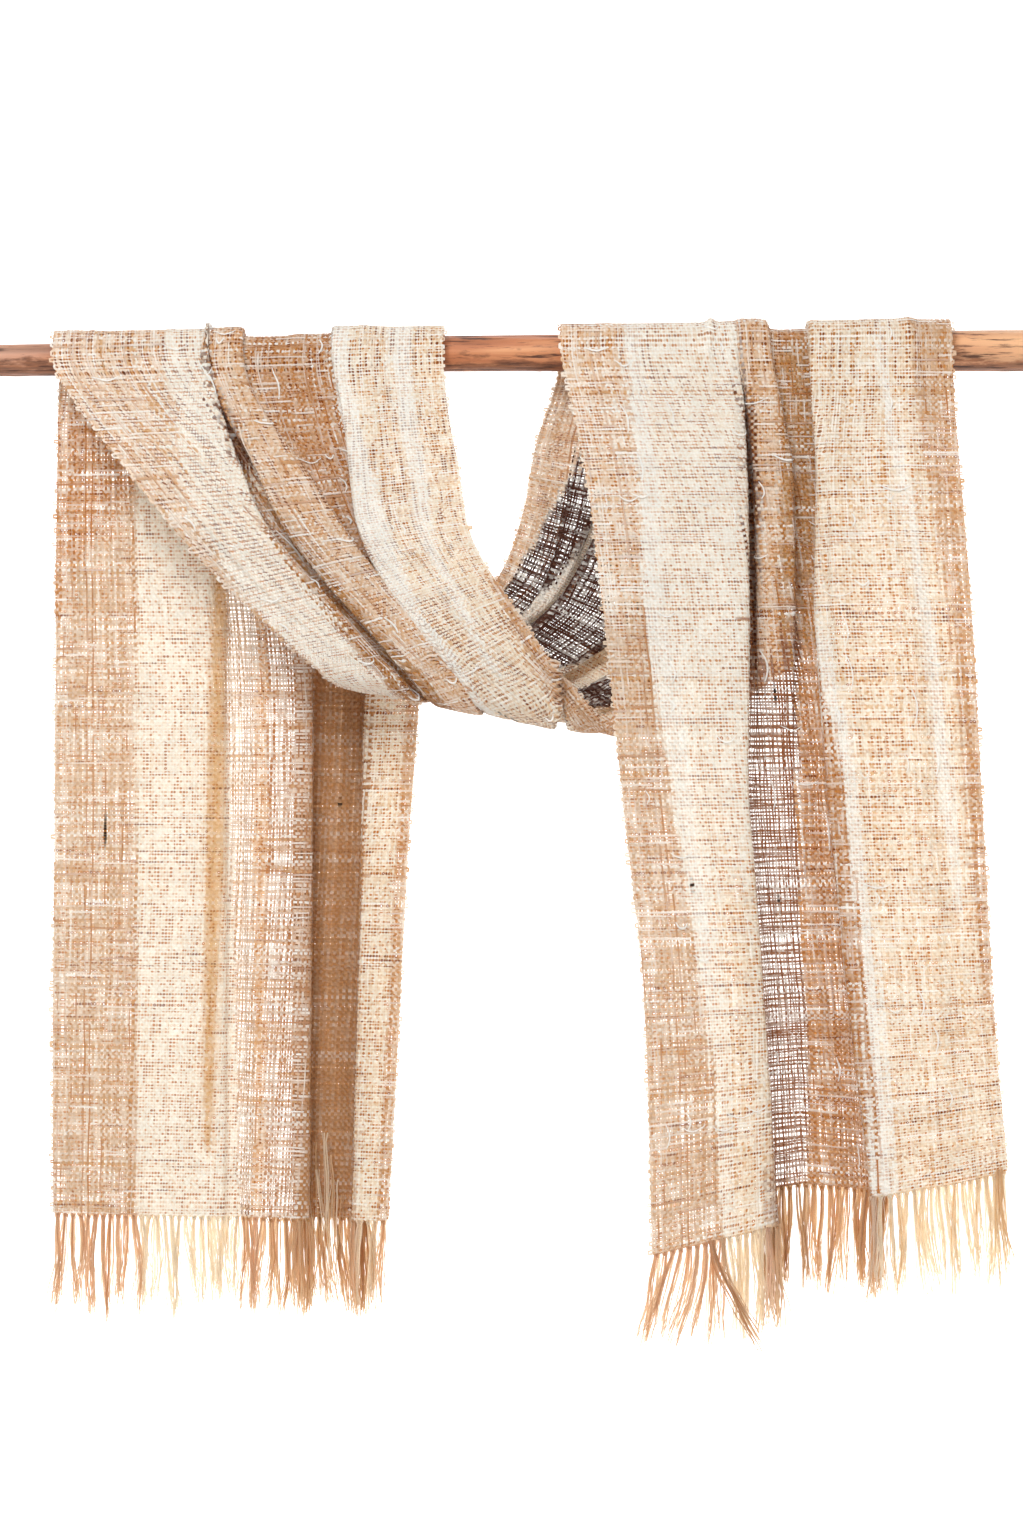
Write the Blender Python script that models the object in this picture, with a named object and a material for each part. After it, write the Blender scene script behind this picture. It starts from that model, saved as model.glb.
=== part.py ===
"""Handwoven silk scarf wound over a peeled wooden rod.

The rod runs along X with its axis through the origin at mid-length. The front
faces -Y and +Z is up. The scarf's first end hangs behind the rod. The cloth
goes over the top at the left, down in front as a swag, under and up behind the
rod, over the top at the right and down in front to its second end.

Sizes are in millimetres and are turned into metres where a mesh is made.
"""

import math

import bmesh
import bpy
import numpy as np

METRES_PER_MM = 0.001

# Driving sizes
ROD_LENGTH = 900.0
ROD_SIDES = 20
ROD_RINGS = 13
CLOTH_WALL = 1.6
CLOTH_OFF_ROD = 1.6
SEAM_GAP = 0.3
SLANTED_SEAM_GAP = 0.8
ARC_STEPS = 4
COLUMNS_ACROSS = 30
TAIL_ROW = 60.0
SWAG_ROW = 20.0
FOLD_EDGE = 0.075
STRANDS = 56
STRAND_WIDTH = 2.6
STRAND_TIP = 1.2
STRAND_BEND = 0.45
STRIP_HEIGHT = 4.0

# How far apart the points are that give the cloth's directions, and how many
# shares of the width its length across is measured at
STEP_ALONG = 0.5
STEP_ACROSS = 0.002
RUN_SHARES = 401

# How unevenly the strands hang: each length's part that varies, the waves
# sideways and forward as their size and turns in radians, how far each strand's
# turns lie from its neighbour's, and how late along a strand it swings out
LENGTH_VARIES = 0.07
SIDE_WAVE = (1.6, 2.6)
FORWARD_WAVE = (1.2, 3.1)
LENGTH_TURN = 1.9
SIDE_TURN = 2.4
FORWARD_TURN = 4.1
SWING_POWER = 1.4
SHARP_ANGLE = 40.0

# The rod, a row for each place along it: its x, and its axis's height and its
# radius there
ROD_SHAPE = (
    (-450, -6.5, 13.0),
    (-300, -4.5, 13.6),
    (-150, -1.8, 14.2),
    (0, 0.0, 14.8),
    (150, 0.8, 15.5),
    (300, 1.6, 16.2),
    (450, 2.2, 16.8),
)

# The scarf, a row for each section from its first hem to its second: the
# section's name, then x, y and z of its left and of its right selvedge. The
# rows called over_left and over_right are put on the rod, and give only how
# far along the rod the selvedges lie.
OVER_ROWS = ("over_left", "over_right")
SECTIONS = (
    ("hem_left", -369, 25, -690, -101, 38, -698),
    ("left_540", -369, 26, -540, -93, 42, -546),
    ("left_410", -368, 26, -410, -86, 45, -412),
    ("left_270", -367, 25, -270, -76, 46, -270),
    ("left_135", -366, 21, -135, -66, 32, -135),
    ("left_50", -364.5, 17, -50, -58, 20, -50),
    ("over_left", -363.6, 0, 0, -55.6, 0, 0),
    ("front_50", -340, -18, -49, -51.5, -20, -51),
    ("front_90", -311, -20, -86, -43, -24, -96),
    ("front_140", -273, -22, -134, -35, -27, -143),
    ("front_200", -215, -22, -197, -8, -28, -192),
    ("front_250", -166, -22, -240, 40, -28, -258),
    ("turn_front", -143, -16, -256, 70, -20, -291),
    ("bottom", -128, 0, -263, 86, 0, -303),
    ("turn_back", -112, 14, -257, 104, 20, -297),
    ("back_260", -66, 18, -230, 168, 28, -284),
    ("back_210", -11.6, 18, -182, 243, 27, -230),
    ("back_150", 9, 20, -132, 291, 26, -165),
    ("back_75", 21, 19, -71, 331, 22, -80),
    ("over_right", 40.4, 0, 0, 348.5, 0, 0),
    ("right_40", 48.5, -18, -40, 349.5, -19, -40),
    ("right_90", 58, -22, -90, 352.5, -23, -89),
    ("right_205", 73, -30, -207, 361, -30, -207),
    ("right_345", 87.6, -33, -348, 368.5, -33, -346),
    ("right_515", 106, -31, -524, 378, -31, -512),
    ("hem_right", 111.6, -29, -715, 390, -29, -650),
)

# The folds, a row for each section that steers one: the shares of the width
# where the fold starts and ends, its rise and its tuck. A fold is a band that
# stands out from the cloth's back face. Its tuck draws the crest out over the
# hollow beside it. Between its rows a fold changes evenly, and past its first
# and last rows it is flat.
FOLDS = {
    "selvedge_panel": (
        ("left_270", -0.3, 0.40, 0, 0),
        ("over_left", -0.3, 0.385, 5, 1),
        ("front_90", -0.3, 0.34, 10, 4),
        ("front_200", -0.3, 0.32, 13, 6),
        ("front_250", -0.3, 0.33, 11, 5),
        ("bottom", -0.3, 0.29, 6, 3),
        ("back_260", -0.3, 0.20, 5, 3),
        ("back_150", -0.3, 0.12, 6, 3),
        ("back_75", -0.3, 0.12, 4, 1),
        ("over_right", -0.3, 0.14, 0, 0),
    ),
    "rolled_fold": (
        ("left_135", 0.40, 0.52, 0, 0),
        ("over_left", 0.405, 0.52, 6, 1),
        ("front_90", 0.38, 0.54, 12, 4),
        ("front_140", 0.35, 0.57, 15, 6),
        ("front_250", 0.34, 0.52, 12, 5),
        ("bottom", 0.30, 0.46, 6, 3),
        ("back_260", 0.24, 0.38, 12, 5),
        ("back_150", 0.18, 0.30, 12, 5),
        ("back_75", 0.20, 0.32, 6, 2),
        ("over_right", 0.24, 0.36, 0, 0),
    ),
    "inner_panel": (
        ("left_135", 0.70, 1.3, 0, 0),
        ("over_left", 0.68, 1.3, 6, 1),
        ("front_90", 0.66, 1.3, 10, 4),
        ("front_140", 0.64, 1.3, 13, 6),
        ("front_200", 0.61, 1.2, 12, 5),
        ("front_250", 0.57, 1.0, 10, 4),
        ("bottom", 0.50, 0.76, 6, 3),
        ("back_260", 0.42, 0.58, 12, 5),
        ("back_150", 0.38, 0.54, 9, 4),
        ("over_right", 0.42, 0.56, 0, 0),
    ),
    "inner_edge": (
        ("front_250", 0.96, 1.3, 0, 0),
        ("bottom", 0.80, 1.0, 6, 2),
        ("back_210", 0.64, 0.82, 10, 5),
        ("back_75", 0.66, 0.84, 4, 1),
        ("over_right", 0.70, 0.86, 0, 0),
    ),
    "golden_fold": (
        ("hem_left", 0.50, 0.60, 6, 1),
        ("left_410", 0.47, 0.57, 8, 2),
        ("left_270", 0.45, 0.55, 7, 1),
        ("over_left", 0.45, 0.55, 0, 0),
    ),
    "shaded_layer": (
        ("hem_left", 0.73, 0.91, 20, 8),
        ("left_410", 0.69, 0.89, 22, 9),
        ("left_270", 0.67, 0.88, 20, 8),
        ("left_135", 0.65, 0.85, 13, 5),
        ("over_left", 0.62, 0.78, 0, 0),
    ),
    "front_panel": (
        ("back_75", -0.3, 0.40, 0, 0),
        ("over_right", -0.3, 0.42, 5, 1),
        ("right_90", -0.3, 0.43, 9, 4),
        ("right_205", -0.3, 0.41, 12, 6),
        ("right_345", -0.3, 0.36, 13, 7),
        ("hem_right", -0.3, 0.35, 12, 8),
    ),
    "tan_ridge": (
        ("back_75", 0.43, 0.54, 0, 0),
        ("over_right", 0.44, 0.54, 6, 1),
        ("right_90", 0.44, 0.55, 10, 2),
        ("right_205", 0.43, 0.54, 11, 2),
        ("right_345", 0.40, 0.50, 0, 0),
    ),
    "shaded_valley": (
        ("right_40", 0.42, 0.66, 0, 0),
        ("right_90", 0.40, 0.66, -7, 0),
        ("right_205", 0.36, 0.64, -20, 0),
        ("right_345", 0.32, 0.63, -22, 0),
        ("hem_right", 0.31, 0.65, -16, 0),
    ),
    "side_panel": (
        ("back_75", 0.60, 1.3, 0, 0),
        ("over_right", 0.63, 1.3, 6, 1),
        ("right_90", 0.61, 1.3, 11, 4),
        ("right_205", 0.59, 1.3, 13, 7),
        ("right_345", 0.58, 1.3, 14, 8),
        ("hem_right", 0.60, 1.3, 13, 8),
    ),
    "side_crest": (
        ("over_right", 0.76, 0.92, 0, 0),
        ("right_205", 0.74, 0.90, 5, 0),
        ("right_515", 0.74, 0.92, 5, 0),
        ("hem_right", 0.76, 0.94, 4, 0),
    ),
}

# The fringes, a row for each hem: the node's name, the hem, how long the
# strands are at the left and at the right of the hem, and how far the first and
# the last tip swing sideways
FRINGES = (
    ("fringe_left", "hem_left", 80.0, 74.0, -3.0, -2.0),
    ("fringe_right", "hem_right", 76.0, 88.0, -14.0, 8.0),
)

# Colours, as base colour and roughness
COLOURS = {
    "tan_silk": ((0.62, 0.44, 0.29), 0.75),
    "cream_silk": ((0.86, 0.78, 0.63), 0.72),
    "fringe_silk": ((0.72, 0.56, 0.38), 0.8),
    "peeled_wood": ((0.40, 0.19, 0.08), 0.55),
}


def smooth_line(places, values, at):
    """Read a smooth curve through values, with uneven places, at the places given."""
    places = np.asarray(places, dtype=float)
    values = np.asarray(values, dtype=float)
    slopes = np.gradient(values, places)
    index = np.clip(np.searchsorted(places, at, side="right") - 1, 0, len(places) - 2)
    step = places[index + 1] - places[index]
    share = (at - places[index]) / step
    start = values[index]
    end = values[index + 1]
    rise = end - start
    start_slope = slopes[index] * step
    end_slope = slopes[index + 1] * step
    second = 3 * rise - 2 * start_slope - end_slope
    third = start_slope + end_slope - 2 * rise
    return start + share * (start_slope + share * (second + share * third))


def rod_height(x):
    """Height of the rod's axis at x."""
    return smooth_line([row[0] for row in ROD_SHAPE], [row[1] for row in ROD_SHAPE], x)


def rod_radius(x):
    """Radius of the rod at x."""
    return smooth_line([row[0] for row in ROD_SHAPE], [row[2] for row in ROD_SHAPE], x)


def selvedge_on_rod(x, from_back):
    """Point of the cloth's middle on the rod, at an angle from behind over the top."""
    radius = rod_radius(x) + CLOTH_OFF_ROD
    return (x, math.cos(from_back) * radius, rod_height(x) + math.sin(from_back) * radius)


def scarf_path():
    """Every section's name, with its two selvedge points, and how far along the cloth it is."""
    names = []
    rows = []
    for name, *numbers in SECTIONS:
        if name not in OVER_ROWS:
            names.append(name)
            rows.append(numbers)
            continue
        for step in range(2 * ARC_STEPS + 1):
            angle = math.pi * step / (2 * ARC_STEPS)
            names.append(name if step == ARC_STEPS else "")
            left = selvedge_on_rod(numbers[0], angle)
            right = selvedge_on_rod(numbers[3], angle)
            rows.append((*left, *right))
    rows = np.array(rows, dtype=float)
    middle = (rows[:, :3] + rows[:, 3:]) / 2
    steps = np.linalg.norm(np.diff(middle, axis=0), axis=1)
    along = np.concatenate(([0.0], np.cumsum(steps)))
    return names, rows, along


PATH_NAMES, PATH_ROWS, PATH_ALONG = scarf_path()


def place_of(section):
    """How far along the cloth a named section is."""
    return PATH_ALONG[PATH_NAMES.index(section)]


def places_over_rod(section):
    """How far along the cloth its rows over the rod are, from behind to in front."""
    middle = PATH_NAMES.index(section)
    return PATH_ALONG[middle - ARC_STEPS:middle + ARC_STEPS + 1]


def plain_cloth(along, across):
    """Points of the cloth without its folds, lying on the rod where it passes over it."""
    ends = [smooth_line(PATH_ALONG, PATH_ROWS[:, column], along) for column in range(6)]
    left = np.stack(ends[:3], axis=-1)
    right = np.stack(ends[3:], axis=-1)
    share = across[..., None]
    point = left * (1 - share) + right * share
    x = point[..., 0]
    for section in OVER_ROWS:
        places = places_over_rod(section)
        near = (along >= places[0]) & (along <= places[-1])
        angle = np.pi * (along - places[0]) / (places[-1] - places[0])
        radius = rod_radius(x) + CLOTH_OFF_ROD
        height = rod_height(x) + np.sin(angle) * radius
        point[..., 1] = np.where(near, np.cos(angle) * radius, point[..., 1])
        point[..., 2] = np.where(near, height, point[..., 2])
    return point


def eased(share):
    """A smooth step from 0 to 1."""
    share = np.clip(share, 0, 1)
    return share * share * (3 - 2 * share)


def fold_offsets(along, across):
    """How far the folds lift the cloth, and how far they draw it sideways."""
    lift = np.zeros_like(across)
    shift = np.zeros_like(across)
    for rows in FOLDS.values():
        places = [place_of(row[0]) for row in rows]
        start, end, rise, tuck = (
            np.interp(along, places, [row[column] for row in rows]) for column in range(1, 5)
        )
        outside = (along < places[0]) & (places[0] > 0)
        outside |= (along > places[-1]) & (places[-1] < PATH_ALONG[-1])
        rise = np.where(outside, 0, rise)
        tuck = np.where(outside, 0, tuck)
        edge = np.minimum(FOLD_EDGE, (end - start) / 2)
        up = (across - start) / edge
        down = (end - across) / edge
        lift += rise * eased(up) * eased(down)
        shift += tuck * np.sin(2 * np.pi * np.clip(up, 0, 1))
        shift -= tuck * np.sin(2 * np.pi * np.clip(down, 0, 1))
    return lift, shift


def unit(vectors):
    """Vectors at length 1."""
    return vectors / np.linalg.norm(vectors, axis=-1, keepdims=True)


def directions(surface, along, across):
    """A surface's outward normal and its direction across, from points close by."""
    forward = surface(along + STEP_ALONG, across) - surface(along - STEP_ALONG, across)
    sideways = surface(along, across + STEP_ACROSS) - surface(along, across - STEP_ACROSS)
    return unit(np.cross(forward, sideways)), unit(sideways)


def folded_cloth(along, across):
    """Points of the middle of the cloth, folds and all."""
    normal, sideways = directions(plain_cloth, along, across)
    lift, shift = fold_offsets(along, across)
    return plain_cloth(along, across) + normal * lift[..., None] + sideways * shift[..., None]


def cloth_faces(along, across):
    """Points of the cloth's two faces."""
    middle = folded_cloth(along, across)
    normal, _ = directions(folded_cloth, along, across)
    return middle + normal * CLOTH_WALL / 2, middle - normal * CLOTH_WALL / 2


def section_run(place):
    """Shares of the width at a section, and the length of cloth up to each of them."""
    shares = np.linspace(0, 1, RUN_SHARES)
    edge = folded_cloth(np.full_like(shares, place), shares)
    steps = np.linalg.norm(np.diff(edge, axis=0), axis=1)
    return shares, np.concatenate(([0.0], np.cumsum(steps)))


def even_columns(place):
    """Shares of the width that part a section into equal lengths of cloth."""
    shares, run = section_run(place)
    return np.interp(np.linspace(0, run[-1], COLUMNS_ACROSS + 1), run, shares)


def make_object(name, build, colour):
    """One named object with its own material, from a function that fills a bmesh."""
    shape = bmesh.new()
    build(shape)
    bmesh.ops.recalc_face_normals(shape, faces=shape.faces)
    mesh = bpy.data.meshes.new(name)
    shape.to_mesh(mesh)
    shape.free()
    mesh.shade_smooth()
    material = bpy.data.materials.new(name + "_" + colour)
    material.use_nodes = True
    principled = material.node_tree.nodes["Principled BSDF"]
    base, roughness = COLOURS[colour]
    principled.inputs["Base Color"].default_value = (*base, 1.0)
    principled.inputs["Roughness"].default_value = roughness
    principled.inputs["Metallic"].default_value = 0.0
    mesh.materials.append(material)
    piece = bpy.data.objects.new(name, mesh)
    bpy.context.scene.collection.objects.link(piece)
    return piece


def add_grid(shape, points):
    """Vertices for a grid of points, in millimetres."""
    return [[shape.verts.new(point * METRES_PER_MM) for point in row] for row in points]


def wall_between(shape, outer, inner):
    """Close the wall between two grids of vertices that match."""
    rows = len(outer)
    columns = len(outer[0])
    for row in range(rows - 1):
        for column in range(columns - 1):
            for grid in (outer, inner):
                shape.faces.new((
                    grid[row][column], grid[row][column + 1],
                    grid[row + 1][column + 1], grid[row + 1][column],
                ))
    for row in range(rows - 1):
        for column in (0, columns - 1):
            shape.faces.new((
                outer[row][column], outer[row + 1][column],
                inner[row + 1][column], inner[row][column],
            ))
    for row in (0, rows - 1):
        for column in range(columns - 1):
            shape.faces.new((
                outer[row][column], outer[row][column + 1],
                inner[row][column + 1], inner[row][column],
            ))


def rows_between(first, last, row_height):
    """Places along the cloth for a stretch, closer together where it rounds the rod."""
    places = [first, last]
    for section in OVER_ROWS:
        places.extend(place for place in places_over_rod(section) if first + 1 < place < last - 1)
    places.sort()
    filled = []
    for start, end in zip(places, places[1:]):
        count = max(1, round((end - start) / row_height))
        filled.extend(np.linspace(start, end, count, endpoint=False))
    filled.append(last)
    return np.array(filled)


def seam_half(section):
    """Half the gap at a seam, along the cloth, which crosses the lowest seam at a slant."""
    if section in (PATH_NAMES[0], PATH_NAMES[-1]):
        return 0
    return (SLANTED_SEAM_GAP if section == "bottom" else SEAM_GAP) / 2


def make_stretch(name, first_section, last_section, row_height, colour):
    """One stretch of the scarf, between two named sections, as a closed wall."""
    first = place_of(first_section) + seam_half(first_section)
    last = place_of(last_section) - seam_half(last_section)
    rows = rows_between(first, last, row_height)
    across = np.array([even_columns(place) for place in rows])
    along = np.repeat(rows[:, None], across.shape[1], axis=1)
    outer, inner = cloth_faces(along, across)

    def build(shape):
        wall_between(shape, add_grid(shape, outer), add_grid(shape, inner))

    return make_object(name, build, colour)


def strand_point(start, length, swing, share, index):
    """A point down a strand's middle: it swings out and waves a little as it hangs."""
    side_size, side_turns = SIDE_WAVE
    forward_size, forward_turns = FORWARD_WAVE
    side = swing * share ** SWING_POWER
    side += side_size * math.sin(side_turns * share + SIDE_TURN * index) * share
    forward = forward_size * math.sin(forward_turns * share + FORWARD_TURN * index) * share
    return start + np.array((side, forward, -length * share))


def make_fringe(name, hem, left_length, right_length, left_swing, right_swing):
    """A narrow strip just past a hem, with the warp ends hanging from it as strands."""
    hem_place = place_of(hem)
    shares, run = section_run(hem_place)
    pitch = run[-1] / STRANDS
    centres = (np.arange(STRANDS) + 0.5) * pitch
    sides = np.sort(np.concatenate((centres - STRAND_WIDTH / 2, centres + STRAND_WIDTH / 2)))
    column_shares = np.interp(sides, run, shares)
    outer, inner = cloth_faces(np.full_like(column_shares, hem_place), column_shares)
    top = -SEAM_GAP
    bottom = -SEAM_GAP - STRIP_HEIGHT

    def build(shape):
        levels = []
        for level in (top, bottom):
            drop = np.array((0, 0, level))
            levels.append(add_grid(shape, (outer + drop, inner + drop)))
        (top_front, top_back), (low_front, low_back) = levels
        columns = len(top_front)
        for column in range(columns - 1):
            after = column + 1
            shape.faces.new((top_front[column], top_front[after], low_front[after], low_front[column]))
            shape.faces.new((top_back[column], top_back[after], low_back[after], low_back[column]))
            shape.faces.new((top_front[column], top_front[after], top_back[after], top_back[column]))
            root = (low_front[column], low_front[after], low_back[after], low_back[column])
            if column % 2:
                shape.faces.new(root)
            else:
                add_strand(shape, root, column // 2)
        for column in (0, columns - 1):
            shape.faces.new((top_front[column], low_front[column], low_back[column], top_back[column]))

    def add_strand(shape, root, index):
        share = index / (STRANDS - 1)
        length = left_length + (right_length - left_length) * share
        length *= 1 - LENGTH_VARIES + LENGTH_VARIES * math.sin(LENGTH_TURN * index)
        swing = left_swing + (right_swing - left_swing) * share
        corners = [np.array(vertex.co) / METRES_PER_MM for vertex in root]
        middle = sum(corners) / 4
        above = root
        for level in (STRAND_BEND, 1.0):
            size = 1 + (STRAND_TIP / STRAND_WIDTH - 1) * level
            centre = strand_point(middle, length, swing, level, index)
            ring = [
                shape.verts.new((centre + (corner - middle) * size) * METRES_PER_MM)
                for corner in corners
            ]
            for side in range(4):
                after = (side + 1) % 4
                shape.faces.new((above[side], above[after], ring[after], ring[side]))
            above = ring
        shape.faces.new(above)

    return make_object(name, build, "fringe_silk")


def make_rod():
    """The peeled pole: a round bar that thickens to the right, with flat sawn ends."""
    places = np.linspace(-ROD_LENGTH / 2, ROD_LENGTH / 2, ROD_RINGS)

    def build(shape):
        rings = []
        for x in places:
            height = rod_height(x)
            radius = rod_radius(x)
            ring = []
            for side in range(ROD_SIDES):
                angle = 2 * math.pi * side / ROD_SIDES
                point = np.array((x, math.cos(angle) * radius, height + math.sin(angle) * radius))
                ring.append(shape.verts.new(point * METRES_PER_MM))
            rings.append(ring)
        for ring, after in zip(rings, rings[1:]):
            for side in range(ROD_SIDES):
                beside = (side + 1) % ROD_SIDES
                shape.faces.new((ring[side], ring[beside], after[beside], after[side]))
        shape.faces.new(rings[0])
        shape.faces.new(rings[-1])

    rod = make_object("rod", build, "peeled_wood")
    rod.data.set_sharp_from_angle(angle=math.radians(SHARP_ANGLE))
    return rod


def main():
    for old in list(bpy.data.objects):
        bpy.data.objects.remove(old, do_unlink=True)
    make_rod()
    make_stretch("tail_left", "hem_left", "over_left", TAIL_ROW, "tan_silk")
    make_stretch("swag_front", "over_left", "bottom", SWAG_ROW, "cream_silk")
    make_stretch("swag_back", "bottom", "over_right", SWAG_ROW, "tan_silk")
    make_stretch("tail_right", "over_right", "hem_right", TAIL_ROW, "cream_silk")
    for row in FRINGES:
        make_fringe(*row)


main()
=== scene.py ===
"""Looks of a handwoven silk scarf wound over a peeled wooden rod.

The cloth is made thread by thread: flat yarns in both directions pass over and
under each other on the folded form that the solids have. Tables of sizes are
in millimetres, and meshes are in metres.
"""

import math
from dataclasses import dataclass

import bpy
import numpy as np
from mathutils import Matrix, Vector


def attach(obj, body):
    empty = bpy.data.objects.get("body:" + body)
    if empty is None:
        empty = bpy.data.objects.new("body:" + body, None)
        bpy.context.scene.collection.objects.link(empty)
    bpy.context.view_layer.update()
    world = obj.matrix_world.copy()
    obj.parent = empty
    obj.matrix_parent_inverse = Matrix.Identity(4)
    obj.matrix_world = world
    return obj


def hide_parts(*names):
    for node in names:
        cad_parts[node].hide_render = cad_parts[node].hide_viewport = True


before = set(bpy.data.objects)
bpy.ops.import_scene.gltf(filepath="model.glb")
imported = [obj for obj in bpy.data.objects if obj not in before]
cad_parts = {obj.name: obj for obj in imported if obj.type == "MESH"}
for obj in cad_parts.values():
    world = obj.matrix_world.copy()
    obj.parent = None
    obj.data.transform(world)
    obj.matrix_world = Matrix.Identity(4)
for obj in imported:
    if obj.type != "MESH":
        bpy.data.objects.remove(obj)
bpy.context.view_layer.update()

METRES_PER_MM = 0.001

# Sizes of the solids, repeated from the part's source
ROD_LENGTH = 900.0
CLOTH_OFF_ROD = 1.6
ARC_STEPS = 4
STRANDS = 56
SEAM_GAP = 0.3

# The rod, a row for each place along it: x, the height of its axis, and its radius
ROD_SHAPE = (
    (-450, -6.5, 13.0),
    (-300, -4.5, 13.6),
    (-150, -1.8, 14.2),
    (0, 0.0, 14.8),
    (150, 0.8, 15.5),
    (300, 1.6, 16.2),
    (450, 2.2, 16.8),
)

# The scarf, a row for each section from its first hem to its second. A section
# runs between the two selvedges: a row has its name, then x, y and z at its left
# end and at its right end. The rows called over_left and over_right are put on
# the rod, and give only how far along the rod the selvedges lie.
OVER_ROWS = ("over_left", "over_right")
SECTIONS = (
    ("hem_left", -369, 25, -690, -101, 38, -698),
    ("left_540", -369, 26, -540, -93, 42, -546),
    ("left_410", -368, 26, -410, -86, 45, -412),
    ("left_270", -367, 25, -270, -76, 46, -270),
    ("left_135", -366, 21, -135, -66, 32, -135),
    ("left_50", -364.5, 17, -50, -58, 20, -50),
    ("over_left", -363.6, 0, 0, -55.6, 0, 0),
    ("front_50", -340, -18, -49, -51.5, -20, -51),
    ("front_90", -311, -20, -86, -43, -24, -96),
    ("front_140", -273, -22, -134, -35, -27, -143),
    ("front_200", -215, -22, -197, -8, -28, -192),
    ("front_250", -166, -22, -240, 40, -28, -258),
    ("turn_front", -143, -16, -256, 70, -20, -291),
    ("bottom", -128, 0, -263, 86, 0, -303),
    ("turn_back", -112, 14, -257, 104, 20, -297),
    ("back_260", -66, 18, -230, 168, 28, -284),
    ("back_210", -11.6, 18, -182, 243, 27, -230),
    ("back_150", 9, 20, -132, 291, 26, -165),
    ("back_75", 21, 19, -71, 331, 22, -80),
    ("over_right", 40.4, 0, 0, 348.5, 0, 0),
    ("right_40", 48.5, -18, -40, 349.5, -19, -40),
    ("right_90", 58, -22, -90, 352.5, -23, -89),
    ("right_205", 73, -30, -207, 361, -30, -207),
    ("right_345", 87.6, -33, -348, 368.5, -33, -346),
    ("right_515", 106, -31, -524, 378, -31, -512),
    ("hem_right", 111.6, -29, -715, 390, -29, -650),
)

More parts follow.
